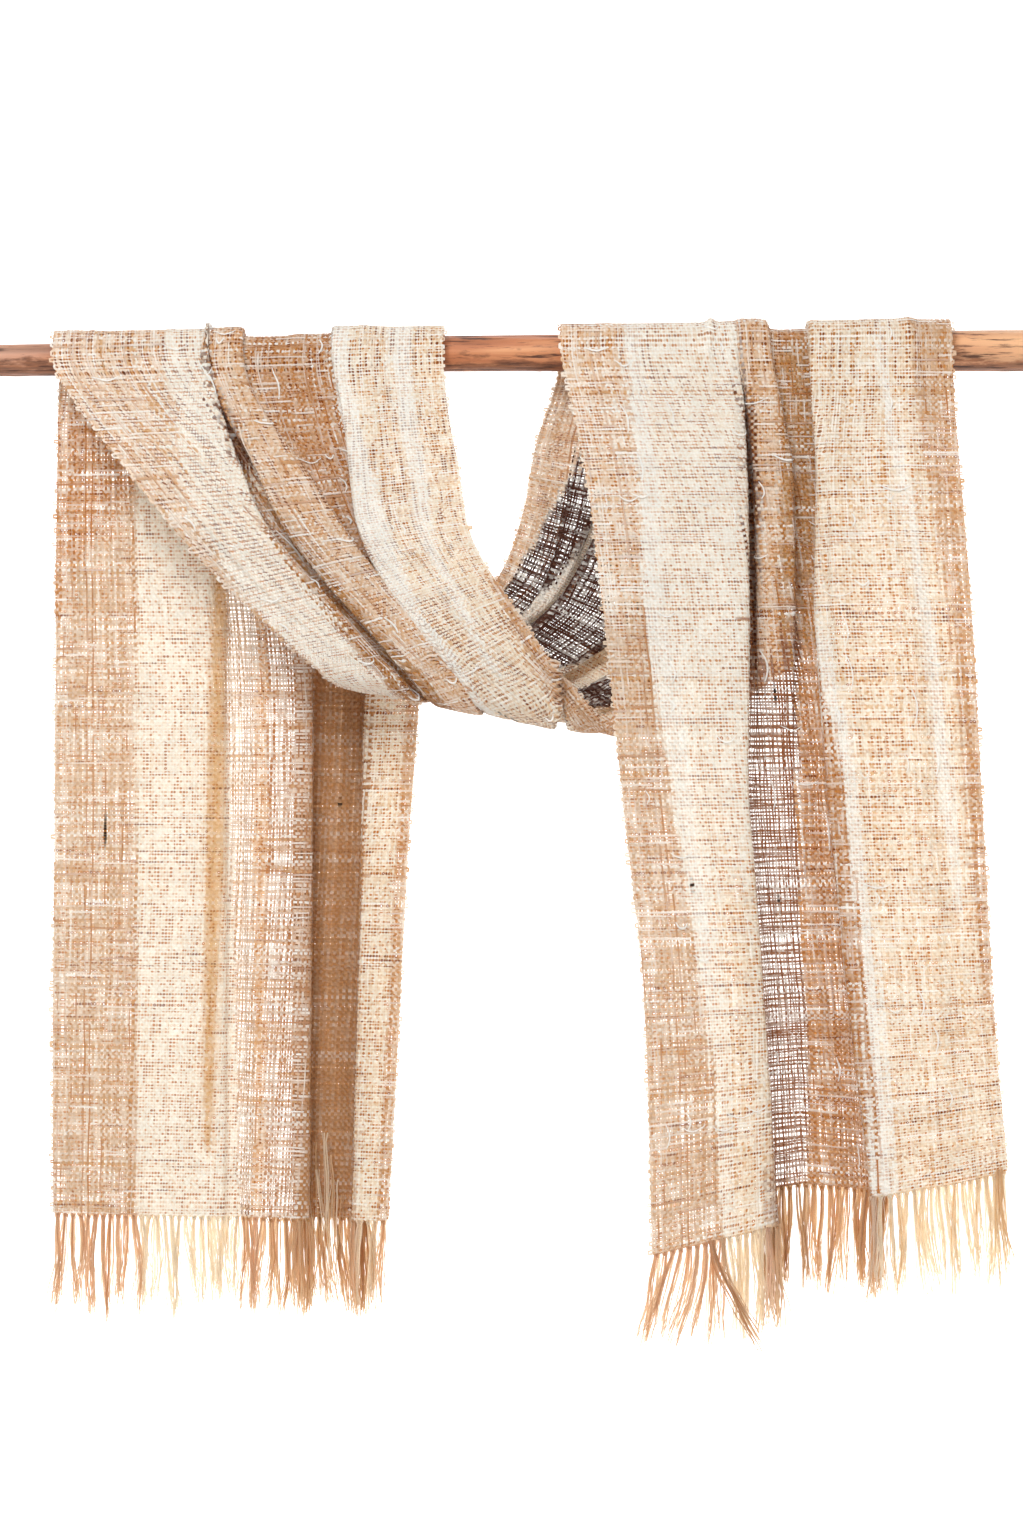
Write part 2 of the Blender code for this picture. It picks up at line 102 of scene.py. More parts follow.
# The folds, a row for each section that steers one. A fold is a band that
# stands out from the cloth's back face, between two shares of the width. Its
# tuck draws the crest out over the hollow beside it. Between its rows a fold
# changes evenly. It starts and ends flat, or at a hem. A row has the section,
# the two shares, the rise and the tuck.
FOLDS = {
    "selvedge_panel": (
        ("left_270", -0.3, 0.40, 0, 0),
        ("over_left", -0.3, 0.415, 7, 2),
        ("front_50", -0.3, 0.39, 12, 4),
        ("front_90", -0.3, 0.36, 15, 5),
        ("front_140", -0.3, 0.32, 16, 6),
        ("front_200", -0.3, 0.33, 13, 5),
        ("front_250", -0.3, 0.32, 10, 4),
        ("bottom", -0.3, 0.29, 6, 3),
        ("back_260", -0.3, 0.20, 5, 3),
        ("back_150", -0.3, 0.12, 6, 3),
        ("back_75", -0.3, 0.12, 4, 1),
        ("over_right", -0.3, 0.14, 0, 0),
    ),
    "rolled_fold": (
        ("left_135", 0.40, 0.52, 0, 0),
        ("over_left", 0.375, 0.50, 7, 2),
        ("front_50", 0.37, 0.51, 12, 4),
        ("front_90", 0.38, 0.558, 18, 7),
        ("front_140", 0.37, 0.597, 21, 9),
        ("front_200", 0.37, 0.593, 20, 9),
        ("front_250", 0.375, 0.58, 16, 8),
        ("bottom", 0.33, 0.51, 6, 3),
        ("back_260", 0.155, 0.235, 12, 5),
        ("back_150", 0.165, 0.24, 12, 5),
        ("back_75", 0.18, 0.30, 6, 2),
        ("over_right", 0.24, 0.36, 0, 0),
    ),
    "inner_panel": (
        ("left_135", 0.70, 1.3, 0, 0),
        ("over_left", 0.706, 1.3, 6, 1),
        ("front_50", 0.71, 1.3, 8, 2),
        ("front_90", 0.68, 1.3, 15, 6),
        ("front_140", 0.645, 1.3, 18, 9),
        ("front_200", 0.595, 1.2, 18, 9),
        ("front_250", 0.565, 1.0, 14, 7),
        ("bottom", 0.52, 0.76, 6, 3),
        ("back_260", 0.44, 0.60, 12, 5),
        ("back_150", 0.44, 0.58, 9, 4),
        ("over_right", 0.42, 0.56, 0, 0),
    ),
    "inner_edge": (
        ("front_250", 0.96, 1.3, 0, 0),
        ("bottom", 0.80, 1.0, 6, 2),
        ("back_210", 0.64, 0.82, 10, 5),
        ("back_75", 0.66, 0.84, 4, 1),
        ("over_right", 0.70, 0.86, 0, 0),
    ),
    "golden_fold": (
        ("hem_left", 0.49, 0.60, 7, 1),
        ("left_410", 0.46, 0.57, 9, 2),
        ("left_270", 0.44, 0.55, 8, 1),
        ("over_left", 0.45, 0.55, 0, 0),
    ),
    "shaded_layer": (
        ("hem_left", 0.72, 0.94, 21, 8),
        ("left_410", 0.68, 0.925, 24, 10),
        ("left_270", 0.66, 0.90, 22, 9),
        ("left_135", 0.64, 0.86, 14, 5),
        ("over_left", 0.62, 0.78, 0, 0),
    ),
    "front_panel": (
        ("back_75", -0.3, 0.40, 0, 0),
        ("over_right", -0.3, 0.452, 6, 2),
        ("right_40", -0.3, 0.455, 10, 4),
        ("right_90", -0.3, 0.433, 13, 6),
        ("right_205", -0.3, 0.394, 16, 7),
        ("right_345", -0.3, 0.346, 15, 7),
        ("right_515", -0.3, 0.330, 14, 8),
        ("hem_right", -0.3, 0.344, 12, 8),
    ),
    "tan_ridge": (
        ("back_75", 0.43, 0.54, 0, 0),
        ("over_right", 0.43, 0.545, 7, 1),
        ("right_40", 0.44, 0.565, 10, 2),
        ("right_90", 0.435, 0.58, 12, 3),
        ("right_205", 0.405, 0.55, 13, 3),
        ("right_345", 0.38, 0.49, 0, 0),
    ),
    "shaded_valley": (
        ("right_40", 0.42, 0.66, 0, 0),
        ("right_90", 0.40, 0.66, -9, 0),
        ("right_205", 0.36, 0.64, -21, 0),
        ("right_345", 0.32, 0.63, -23, 0),
        ("hem_right", 0.31, 0.65, -17, 0),
    ),
    "side_panel": (
        ("back_75", 0.60, 1.3, 0, 0),
        ("over_right", 0.63, 1.3, 7, 2),
        ("right_90", 0.62, 1.3, 13, 5),
        ("right_205", 0.58, 1.3, 15, 7),
        ("right_345", 0.58, 1.3, 15, 8),
        ("right_515", 0.595, 1.3, 15, 8),
        ("hem_right", 0.63, 1.3, 13, 8),
    ),
    "side_crest": (
        ("over_right", 0.76, 0.92, 0, 0),
        ("right_205", 0.74, 0.90, 6, 0),
        ("right_515", 0.74, 0.92, 6, 0),
        ("hem_right", 0.76, 0.94, 4, 0),
    ),
}

# How wide each fold's edges are for each millimetre of its rise. They are
# crisper than those of the solids, and the tucks draw them over further. Where
# a fold changes along the cloth, the change is rounded over the corner's reach.
EDGE_SLOPES = {
    "selvedge_panel": 0.55,
    "rolled_fold": 1.0,
    "inner_panel": 0.6,
    "inner_edge": 0.9,
    "golden_fold": 1.8,
    "shaded_layer": 0.6,
    "front_panel": 0.5,
    "tan_ridge": 0.9,
    "shaded_valley": 1.0,
    "side_panel": 0.55,
    "side_crest": 4.0,
}
LEAST_EDGE = 3.0
TUCK_MORE = 1.15
CORNER_REACH = 14.0

# The fringes, a row for each hem: how long the strands are at its left and at its
# right, and how far the tips swing sideways at shares of the hem
FRINGES = (
    ("fringe_left", "hem_left", 80.0, 74.0, ((0.0, -4), (0.2, 1), (0.5, -1), (0.75, 3), (1.0, -2))),
    ("fringe_right", "hem_right", 78.0, 86.0, (
        (0.0, -17), (0.11, -13), (0.15, 1), (0.3, 3), (0.5, -2), (1.0, 5),
    )),
)

# Yarns in a bunch, from one number to below the other, and the knot at its root
BUNCH_YARNS = (12, 16)
KNOT_HALF = 1.3
TUBE_SIDES = 6

# Locks that stand out from the rest, a row each: the hem, the share of its width,
# how far above it and before it the lock starts, its length, how far its tip
# swings, how many yarns it has, and the stripe whose yarn it is
LOCKS = (
    ("hem_left", 0.705, 46, 7, 112, 7, 3, "ivory"),
    ("hem_left", 0.718, 60, 8, 124, 4, 4, "gold"),
    ("hem_left", 0.730, 38, 9, 108, 9, 4, "ivory"),
    ("hem_left", 0.742, 68, 9, 118, 2, 3, "ivory"),
    ("hem_left", 0.755, 50, 8, 102, 5, 4, "gold"),
    ("hem_left", 0.772, 30, 8, 96, -2, 4, "ivory"),
    ("hem_left", 0.790, 18, 7, 88, -4, 3, "gold"),
    ("hem_right", 0.13, 0, 2, 86, 38, 12, "brown"),
    ("hem_right", 0.155, 0, 2, 82, 22, 9, "tan"),
    ("hem_right", 0.985, 4, 2, 80, 7, 12, "gold"),
)

# The scarf's flat width, and the threads in it. Where the scarf crosses to the
# right, its wefts slant, and the warps shift sideways only over a length. The
# last value is how much of the cloth's length there is for each loose float.
SCARF_WIDTH = 340.0
WARP_PITCH = 2.2
WEFT_PITCH = 2.7
THREAD_HEIGHT = 0.32
WEFT_SLANT = 62.0
THREADS_SHIFT_OVER = 42.0
FLOAT_EVERY = 9

# Each set of threads: over what length a thread wanders, far and near, and how
# much of the near one, over what length it swells and its tone changes, how
# seldom a piece of it is light, and the painted shade that tints it where it dives
# under the other set
WARP_WAYS = (42, 13, 0.5, 9, 26, 0.95, (0.98, 0.95, 0.90))
WEFT_WAYS = (60, 17, 0.45, 10, 34, 0.90, (1.0, 0.99, 0.97))

# The grid that the folded cloth is worked out on
MAP_STEP = 3.0
MAP_COLUMNS = 321

# Lengthwise creases, a row each: a section, how far from it the crease
# starts and in which share of the width, the same for its end, and how wide and
# how high it is. A negative height is a trough.
CREASES = (
    ("hem_left", 10, 0.10, 430, 0.14, 9, 1.8),
    ("hem_left", 40, 0.22, 520, 0.20, 7, -1.6),
    ("hem_left", 0, 0.33, 300, 0.36, 10, 2.2),
    ("hem_left", 200, 0.40, 560, 0.42, 6, -1.5),
    ("hem_left", 20, 0.62, 380, 0.60, 6, 1.6),
    ("hem_left", 0, 0.94, 500, 0.95, 5, -1.4),
    ("left_135", -80, 0.06, 70, 0.22, 8, 2.0),
    ("over_left", -60, 0.10, 60, 0.12, 5, 1.2),
    ("over_left", -70, 0.20, 90, 0.23, 6, -1.4),
    ("over_left", -50, 0.30, 120, 0.25, 6, 1.8),
    ("over_left", -60, 0.59, 110, 0.60, 7, -1.8),
    ("over_left", -40, 0.80, 160, 0.84, 8, 1.6),
    ("over_left", -50, 0.90, 60, 0.92, 4, -1.2),
    ("front_90", -30, 0.10, 190, 0.16, 6, 2.2),
    ("front_90", 0, 0.20, 230, 0.24, 5, -1.8),
    ("front_140", -20, 0.75, 180, 0.72, 7, -2.2),
    ("front_140", 0, 0.86, 200, 0.84, 6, 2.0),
    ("front_200", -20, 0.93, 150, 0.93, 5, -1.6),
    ("front_250", -60, 0.45, 60, 0.40, 4, 1.4),
    ("bottom", -60, 0.64, 90, 0.60, 5, -1.8),
    ("back_260", -20, 0.06, 200, 0.07, 5, 1.6),
    ("back_210", 0, 0.15, 190, 0.15, 5, -1.6),
    ("back_210", -30, 0.47, 220, 0.50, 7, 2.0),
    ("back_210", -60, 0.60, 240, 0.62, 6, -2.0),
    ("back_150", -60, 0.90, 150, 0.92, 7, 1.8),
    ("over_right", -70, 0.10, 120, 0.12, 6, 1.2),
    ("over_right", -50, 0.38, 50, 0.385, 4, 3.2),
    ("over_right", -60, 0.28, 140, 0.26, 7, -1.5),
    ("over_right", -60, 0.72, 120, 0.72, 6, -1.6),
    ("over_right", -60, 0.90, 140, 0.93, 6, 1.5),
    ("right_90", 0, 0.06, 420, 0.08, 8, 1.8),
    ("right_205", -60, 0.20, 330, 0.18, 9, -2.2),
    ("right_205", 0, 0.30, 460, 0.28, 7, 1.8),
    ("right_345", -60, 0.46, 330, 0.48, 6, -2.0),
    ("right_205", 0, 0.68, 480, 0.66, 7, -1.8),
    ("right_345", 0, 0.88, 330, 0.90, 8, -1.8),
    ("right_515", -40, 0.10, 190, 0.13, 7, 2.0),
    ("right_515", -60, 0.97, 180, 0.96, 5, 1.5),
)

# The stripes: at each section, the shares of the width where tan, cream, sheer,
# rose, brown, white and ivory end. After ivory comes edge_tan.
STRIPES = (
    ("hem_left", 0.252, 0.558, 0.598, 0.63, 0.93, 0.931, 0.97),
    ("left_410", 0.228, 0.51, 0.566, 0.60, 0.913, 0.914, 0.97),
    ("left_270", 0.217, 0.462, 0.549, 0.578, 0.893, 0.894, 0.97),
    ("left_135", 0.208, 0.445, 0.535, 0.56, 0.82, 0.83, 1.1),
    ("left_50", 0.25, 0.43, 0.46, 0.55, 0.72, 0.78, 1.1),
    ("over_left", 0.291, 0.41, 0.415, 0.50, 0.715, 0.765, 1.1),
    ("front_50", 0.262, 0.385, 0.39, 0.52, 0.70, 0.755, 1.1),
    ("front_90", 0.185, 0.36, 0.37, 0.555, 0.69, 0.75, 1.1),
    ("front_140", 0.08, 0.345, 0.36, 0.59, 0.67, 0.74, 1.1),
    ("front_200", 0.02, 0.335, 0.34, 0.585, 0.60, 0.66, 0.97),
    ("front_250", 0.0, 0.30, 0.31, 0.575, 0.585, 0.62, 0.90),
    ("bottom", 0.0, 0.26, 0.27, 0.50, 0.52, 0.57, 0.85),
    ("back_260", 0.03, 0.05, 0.06, 0.07, 0.08, 0.24, 0.84),
    ("back_150", 0.05, 0.06, 0.07, 0.08, 0.09, 0.28, 0.85),
    ("back_75", 0.13, 0.18, 0.19, 0.21, 0.24, 0.40, 0.86),
    ("over_right", 0.17, 0.45, 0.455, 0.545, 0.63, 0.64, 0.895),
    ("right_90", 0.138, 0.45, 0.455, 0.58, 0.62, 0.63, 0.91),
    ("right_205", 0.105, 0.39, 0.395, 0.54, 0.58, 0.60, 0.94),
    ("right_345", 0.135, 0.345, 0.355, 0.51, 0.62, 0.66, 0.955),
    ("right_515", 0.165, 0.30, 0.32, 0.47, 0.635, 0.68, 0.975),
    ("hem_right", 0.20, 0.305, 0.33, 0.455, 0.65, 0.69, 1.1),
)

# Bands that show only on a part of the scarf, or change a stripe there. Each
# row is a section, the millimetres past it, and the shares the band lies between.
BANDS = (
    ("lattice", (
        ("hem_left", 0, 0.63, 0.727), ("left_410", 0, 0.60, 0.69),
        ("left_270", 0, 0.578, 0.672), ("left_135", 0, 0.56, 0.66),
    )),
    # Partly the brown yarn of the stripe, partly painted shade: the recess of the shaded layer, with
    # layers in shadow behind it, is coloured darker. It also darkens the fringe under it.
    ("recess", (
        ("hem_left", 0, 0.727, 0.93), ("left_410", 0, 0.69, 0.913),
        ("left_270", 0, 0.672, 0.893), ("left_135", 0, 0.66, 0.85),
    )),
    # Painted shade: darker brown on the left hanging end's top, in the shadow of the swag and the rod
    ("brown", (
        ("left_135", -70, -0.1, 0.0), ("left_135", 0, -0.1, 0.12), ("left_135", 40, -0.1, 0.21),
        ("left_50", 0, -0.1, 0.25),
    )),
    # Painted shade in the valley beside the tan ridge
    ("olive_shade", (
        ("over_right", 30, 0.555, 0.64), ("right_90", 0, 0.530, 0.63), ("right_205", 20, 0.47, 0.59),
    )),
    ("net", (
        ("hem_left", 0, 0.558, 0.598), ("left_410", 0, 0.51, 0.566),
        ("left_270", 0, 0.462, 0.549), ("left_135", 0, 0.445, 0.535),
    )),
    # Painted shade: a golden band in the soft trough of the golden fold
    ("gold", (
        ("hem_left", 60, 0.44, 0.47), ("left_410", 0, 0.425, 0.475),
        ("left_270", 0, 0.422, 0.462), ("left_135", 0, 0.42, 0.45),
    )),
    ("ivory", (
        ("front_50", 0, 0.39, 0.40), ("front_90", 0, 0.37, 0.42),
        ("front_140", 0, 0.36, 0.436), ("front_200", -10, 0.345, 0.36),
    )),
    # Painted shade in the valley beside the rolled fold, on the selvedge panel's side
    ("olive_shade", (
        ("front_90", 20, 0.345, 0.36), ("front_140", 0, 0.305, 0.442), ("front_200", 0, 0.29, 0.441),
        ("front_250", 0, 0.245, 0.434), ("turn_front", 0, 0.218, 0.426), ("bottom", 10, 0.205, 0.42),
    )),
    # Painted highlight: a white streak down the inner panel
    ("white", (
        ("over_left", -30, 0.87, 0.93), ("front_90", 0, 0.86, 0.91),
        ("front_200", 0, 0.80, 0.85), ("front_250", 0, 0.72, 0.76),
    )),
    # These three bands are painted shade: dark yarn on the back of the loop, which is seen from inside and
    # lies in shadow
    ("dusk", (("back_260", -10, 0.03, 0.15), ("back_210", 0, 0.035, 0.152),
              ("back_150", 0, 0.06, 0.18), ("back_75", 0, 0.13, 0.18))),
    ("dusk", (("turn_back", 0, 0.24, 0.42), ("back_260", 0, 0.222, 0.44),
              ("back_210", 0, 0.21, 0.47), ("back_150", 0, 0.22, 0.48))),
    ("dusk", (("bottom", 10, 0.58, 0.76), ("back_260", 0, 0.60, 0.76), ("back_210", 0, 0.60, 0.72))),
    ("white", (
        ("over_right", -30, 0.17, 0.21), ("right_90", 0, 0.14, 0.19), ("right_205", 0, 0.105, 0.165),
        ("right_345", 0, 0.14, 0.195), ("right_515", 0, 0.175, 0.205),
    )),
    ("sheer", (
        ("right_205", 60, 0.375, 0.42), ("right_345", 0, 0.345, 0.39),
        ("right_515", -40, 0.296, 0.35), ("hem_right", 0, 0.303, 0.35),
    )),
    ("sheer", (
        ("right_205", 44, 0.42, 0.48), ("right_345", 0, 0.39, 0.45),
        ("right_515", -40, 0.35, 0.41), ("hem_right", 0, 0.35, 0.40),
    )),
    ("sheer", (
        ("right_205", 26, 0.48, 0.545), ("right_345", 0, 0.45, 0.504),
        ("right_515", -40, 0.41, 0.474), ("hem_right", 0, 0.40, 0.454),
    )),
    # Painted shadow in the gap between the selvedge panel and the rolled fold
    ("shade", (
        ("over_left", 18, 0.384, 0.400), ("over_left", 60, 0.371, 0.406), ("front_50", 14, 0.356, 0.418),
        ("front_90", -4, 0.335, 0.43),
    )),
    # Painted shadow in the gap between the front panel and the tan ridge
    ("shade", (
        ("over_right", 36, 0.446, 0.456), ("right_40", 0, 0.438, 0.476), ("right_90", 5, 0.412, 0.466),
        ("right_205", -58, 0.402, 0.454), ("right_205", 8, 0.372, 0.435), ("right_205", 52, 0.358, 0.40),
    )),
    ("fair", (
        ("over_left", -40, -0.1, 0.27), ("over_left", 0, -0.1, 0.291), ("front_50", 0, -0.1, 0.262),
        ("front_90", 0, -0.1, 0.185), ("front_140", 0, -0.1, 0.08),
    )),
    ("fair", (
        ("over_right", -30, -0.1, 0.17), ("right_90", 0, -0.1, 0.138), ("right_205", 0, -0.1, 0.105),
    )),
    # Painted highlight: a white line along the side panel's crest
    ("white", (
        ("over_right", 20, 0.80, 0.83), ("right_90", 0, 0.83, 0.86), ("right_205", 0, 0.86, 0.895),
        ("right_345", 0, 0.88, 0.93), ("right_345", 90, 0.91, 0.93),
    )),
    # Partly a warmer cream, partly painted shade where the front panel curves away near its edge
    ("ivory", (("right_345", 60, 0.25, 0.32), ("hem_right", 0, 0.24, 0.32))),
)

# How far single warp threads of one stripe stray into the next, as shares of the
# width, how far the stripes' changes are shifted along them, and how soft a
# stripe's edge and a band's end are
WARP_SHIFT = 14.0
WARP_SOFTNESS = 0.004
WEFT_SOFTNESS = 0.012
FRINGE_SOFTNESS = 0.02
BAND_END = 14.0
STRAYS = (
    ("hem_left", 0.004), ("left_135", 0.006), ("over_left", 0.008), ("front_250", 0.012),
    ("bottom", 0.004), ("back_75", 0.004), ("over_right", 0.007), ("hem_right", 0.012),
)

# The yarns of the stripes, in their order, and then of the bands: the warps'
# colour as sRGB, how far the wefts are tinted by it, how much of its room a warp
# and a weft thread fill, how far threads wander, how much a thread differs from
# others, how many threads are light or dark, and how strongly the painted shade
# of the pinholes shows
YARN_COLUMNS = (
    "name", "colour", "tint", "warp_fill", "weft_fill", "wander", "contrast", "lights", "darks", "hole_shading",
)
YARNS = (
    ("tan", (221, 191, 162), 0.68, 0.92, 0.94, 0.17, 0.32, 0.7, 0.8, 0.8),
    ("cream", (255, 250, 240), 0.80, 1.0, 1.08, 0.08, 0.12, 0.3, 0.10, 0.85),
    ("sheer", (158, 106, 74), 0.92, 0.60, 0.62, 0.26, 0.40, 0.3, 0.3, 0.0),
    ("rose", (236, 204, 174), 0.62, 0.90, 0.90, 0.14, 0.40, 0.8, 0.8, 1.0),
    ("brown", (202, 148, 102), 0.74, 0.90, 0.92, 0.18, 0.42, 0.7, 1.0, 1.0),
    ("white", (255, 252, 245), 0.80, 1.0, 1.06, 0.08, 0.10, 0.2, 0.1, 0.5),
    ("ivory", (253, 243, 226), 0.75, 0.98, 1.04, 0.12, 0.26, 0.7, 0.5, 1.0),
    ("edge_tan", (220, 185, 152), 0.68, 0.88, 0.90, 0.18, 0.38, 0.7, 0.9, 0.9),
    ("net", (214, 178, 146), 0.30, 0.62, 0.76, 0.20, 0.32, 0.6, 0.6, 0.4),
    ("lattice", (204, 160, 128), 0.45, 0.70, 0.76, 0.22, 0.45, 0.9, 1.0, 0.5),
    # Partly brown yarn, partly painted shade of the left hanging end's recess
    ("recess", (190, 140, 96), 0.97, 1.02, 1.04, 0.12, 0.14, 0.12, 0.4, 0.4),
    # Painted shade on the golden fold; also the yarn of some fringe locks
    ("gold", (230, 194, 148), 0.95, 0.98, 1.0, 0.08, 0.16, 0.1, 0.2, 0.8),
    # Painted shade for the valleys beside the folds
    ("olive_shade", (186, 136, 84), 0.82, 0.84, 0.84, 0.18, 0.45, 1.0, 1.0, 1.0),
    # Painted shade for the back of the loop, seen from inside in shadow
    ("dusk", (76, 38, 24), 0.98, 0.62, 0.64, 0.26, 0.40, 0.1, 0.4, 0.0),
    # Painted shadow for the gaps beside fold edges
    ("shade", (116, 64, 34), 0.94, 0.98, 1.0, 0.10, 0.30, 0.1, 0.8, 0.6),
    ("fair", (246, 226, 206), 0.60, 0.90, 0.92, 0.16, 0.42, 0.8, 0.6, 1.0),
)
BAND_SOFTNESS = {"gold": 0.03, "white": 0.02, "ivory": 0.015, "olive_shade": 0.012}

# Other colours of yarns, and of the painted shade in the pinholes, as sRGB, and factors that deepen or
# warm one
WEFT_COLOUR = (254, 246, 234)
LIGHT_YARN = (255, 252, 246)
DARK_YARN = (180, 114, 64)
FRINGE_YARN = (246, 200, 140)
FRINGE_LIGHT = (255, 238, 208)
PALE_HOLE_SHADE = (236, 200, 150)
MIDDLE_HOLE_SHADE = (206, 136, 66)
DARK_HOLE_SHADE = (142, 72, 18)
DEEPER = np.array((0.82, 0.60, 0.38))
LOOSE_TINT = np.array((1.0, 0.955, 0.89))

# How round a flat yarn is shaded, and how much wider than its fill each thread is
ROUNDNESS = 0.75
FILL = 1.06

# How far the right hem is drawn up behind the front panel, as shares of the width
# with millimetres, and how far up the cloth this reaches
HEM_LIFT = ((0.0, 0), (0.335, 0), (0.352, 25), (0.45, 24), (0.58, 10), (0.75, 4), (1.0, 0))
HEM_LIFT_LENGTH = 190

# Dark slubs in single warp threads: section, distance from it, share, length
DARK_SLUB = (46, 34, 28)
DARK_SLUBS = (
    ("left_410", 28, 0.135, 34),
    ("left_50", 24, 0.05, 12),
    ("right_205", 66, 0.455, 20),
    ("left_270", -90, 0.80, 10),
    ("right_345", 90, 0.42, 10),
    ("hem_right", -260, 0.17, 12),
)

# Slow waves all over the cloth, each shorter and lower than the last, and how
# far a crease's middle bends, as a share of the width
WAVES = 6
LONGEST_WAVE = 170
HIGHEST_WAVE = 0.75
CREASE_BEND = 0.012

# Pinholes, dots of painted shade between the threads: half their sizes, as shares
# of the room between threads, and the numbers of the wefts where the gathering
# starts and is full, and where it begins to open and is open
HOLE_ACROSS = 0.46
HOLE_DOWN = 0.33
GATHERED_WEFTS = (205, 245, 540, 600)

# The rod's surface: how far it stays inside the solid's ends and sides, cracks,
# with their angle round it, start, end and depth, and knots, with their place,
# angle, size and height
ROD_INSET = 0.5
ROD_SHAVED = 0.35
ROD_RINGS = 361
ROD_SIDES = 56
ROD_CRACKS = (
    (-1.9, -440, -380, 0.7), (-1.2, -60, 34, 0.8), (-2.2, -20, 60, 0.6), (-1.7, 352, 442, 0.9),
    (-0.9, 360, 430, 0.6), (0.8, -300, 200, 0.6), (2.1, -100, 330, 0.7),
)
ROD_KNOTS = ((28, -1.5, 9, 0.7), (395, -2.0, 8, 0.6), (-395, -1.1, 7, 0.6), (-120, 1.4, 9, 0.8))
WOOD_DARK = (128, 70, 40)
WOOD_MIDDLE = (184, 112, 70)
WOOD_PALE = (222, 158, 110)
WOOD_RIGHT = (244, 196, 150)
WOOD_LEFT = (206, 170, 146)
# Bark colours, which also paint shade on the rod's underside
DARK_BARK_AND_SHADE = (84, 46, 26)
PALE_BARK_AND_SHADE = (150, 90, 54)
FINE_CRACK = (88, 44, 24)
DEEP_CRACK = (58, 28, 16)

# The studio, in metres, and its lights: name, place, size, power in watts, colour
FLOOR_Z = -1.06
FLOOR_FRONT = -4.5
FLOOR_BACK = 0.3
FLOOR_HALF = 8.0
SWEEP = 0.9
SWEEP_STEPS = 12
WALL_Y = 3.4
WALL_TOP = 6.0
WALL_GLOW = 0.85
WORLD_COLOUR = (1.0, 0.95, 0.91)
WORLD_STRENGTH = 0.28
LIT_POINT = (0, 0, -0.3)
LIGHTS = (
    ("key", (-0.9, -2.3, 1.7), 1.3, 87, (0.91, 0.96, 1.0)),
    ("fill", (2.2, -2.2, 0.2), 2.0, 18, (1.0, 0.94, 0.88)),
    ("back", (0.4, 1.2, 1.9), 1.6, 20, (1.0, 0.97, 0.94)),
)

# The photograph's frame: its height and the rod's place in it, in pixels from
# the top, its scale, and the lens and sensor that it is seen with
PHOTO_HEIGHT = 1537
ROD_PIXEL = 353
MM_PER_PIXEL = 0.8
LENS = 85.0
SENSOR = 36.0

SEED = 11
rng = np.random.default_rng(SEED)


def linear(colour):
    """sRGB colours from 0 to 255, as linear numbers."""
    share = np.asarray(colour, dtype=float) / 255
    return np.where(share <= 0.04045, share / 12.92, ((share + 0.055) / 1.055) ** 2.4)


def smooth_line(places, values, at):
    """Read a smooth curve through values, with uneven places, at the places given."""
    places = np.asarray(places, dtype=float)
    values = np.asarray(values, dtype=float)
    slopes = np.gradient(values, places)
    index = np.clip(np.searchsorted(places, at, side="right") - 1, 0, len(places) - 2)
    step = places[index + 1] - places[index]
    share = (at - places[index]) / step
    rise = values[index + 1] - values[index]
    start_slope = slopes[index] * step
    end_slope = slopes[index + 1] * step
    second = 3 * rise - 2 * start_slope - end_slope
    third = start_slope + end_slope - 2 * rise
    return values[index] + share * (start_slope + share * (second + share * third))


def rod_height(x):
    """Height of the rod's axis at x."""
    return smooth_line([row[0] for row in ROD_SHAPE], [row[1] for row in ROD_SHAPE], x)


def rod_radius(x):
    """Radius of the rod at x."""
    return smooth_line([row[0] for row in ROD_SHAPE], [row[2] for row in ROD_SHAPE], x)


def on_rod(x, from_back):
    """Where the cloth's middle lies on the rod at x: its y and z, at an angle from behind over the top."""
    radius = rod_radius(x) + CLOTH_OFF_ROD
    return np.cos(from_back) * radius, rod_height(x) + np.sin(from_back) * radius


def scarf_path():
    """Every section's name, with its two selvedge points, and how far along the cloth it is."""
    names = []
    rows = []
    for name, *numbers in SECTIONS:
        if name not in OVER_ROWS:
            names.append(name)
            rows.append(numbers)
            continue
        for step in range(2 * ARC_STEPS + 1):
            angle = math.pi * step / (2 * ARC_STEPS)
            names.append(name if step == ARC_STEPS else "")
            rows.append([value for x in (numbers[0], numbers[3]) for value in (x, *on_rod(x, angle))])
    rows = np.array(rows, dtype=float)
    middle = (rows[:, :3] + rows[:, 3:]) / 2
    steps = np.linalg.norm(np.diff(middle, axis=0), axis=1)
    return names, rows, np.concatenate(([0.0], np.cumsum(steps)))


PATH_NAMES, PATH_ROWS, PATH_ALONG = scarf_path()
SCARF_LENGTH = PATH_ALONG[-1]


def place_of(section):
    """How far along the cloth a named section is."""
    return PATH_ALONG[PATH_NAMES.index(section)]


def ends_over_rod(section):
    """How far along the cloth it comes onto the rod and leaves it."""
    middle = PATH_NAMES.index(section)
    return PATH_ALONG[middle - ARC_STEPS], PATH_ALONG[middle + ARC_STEPS]


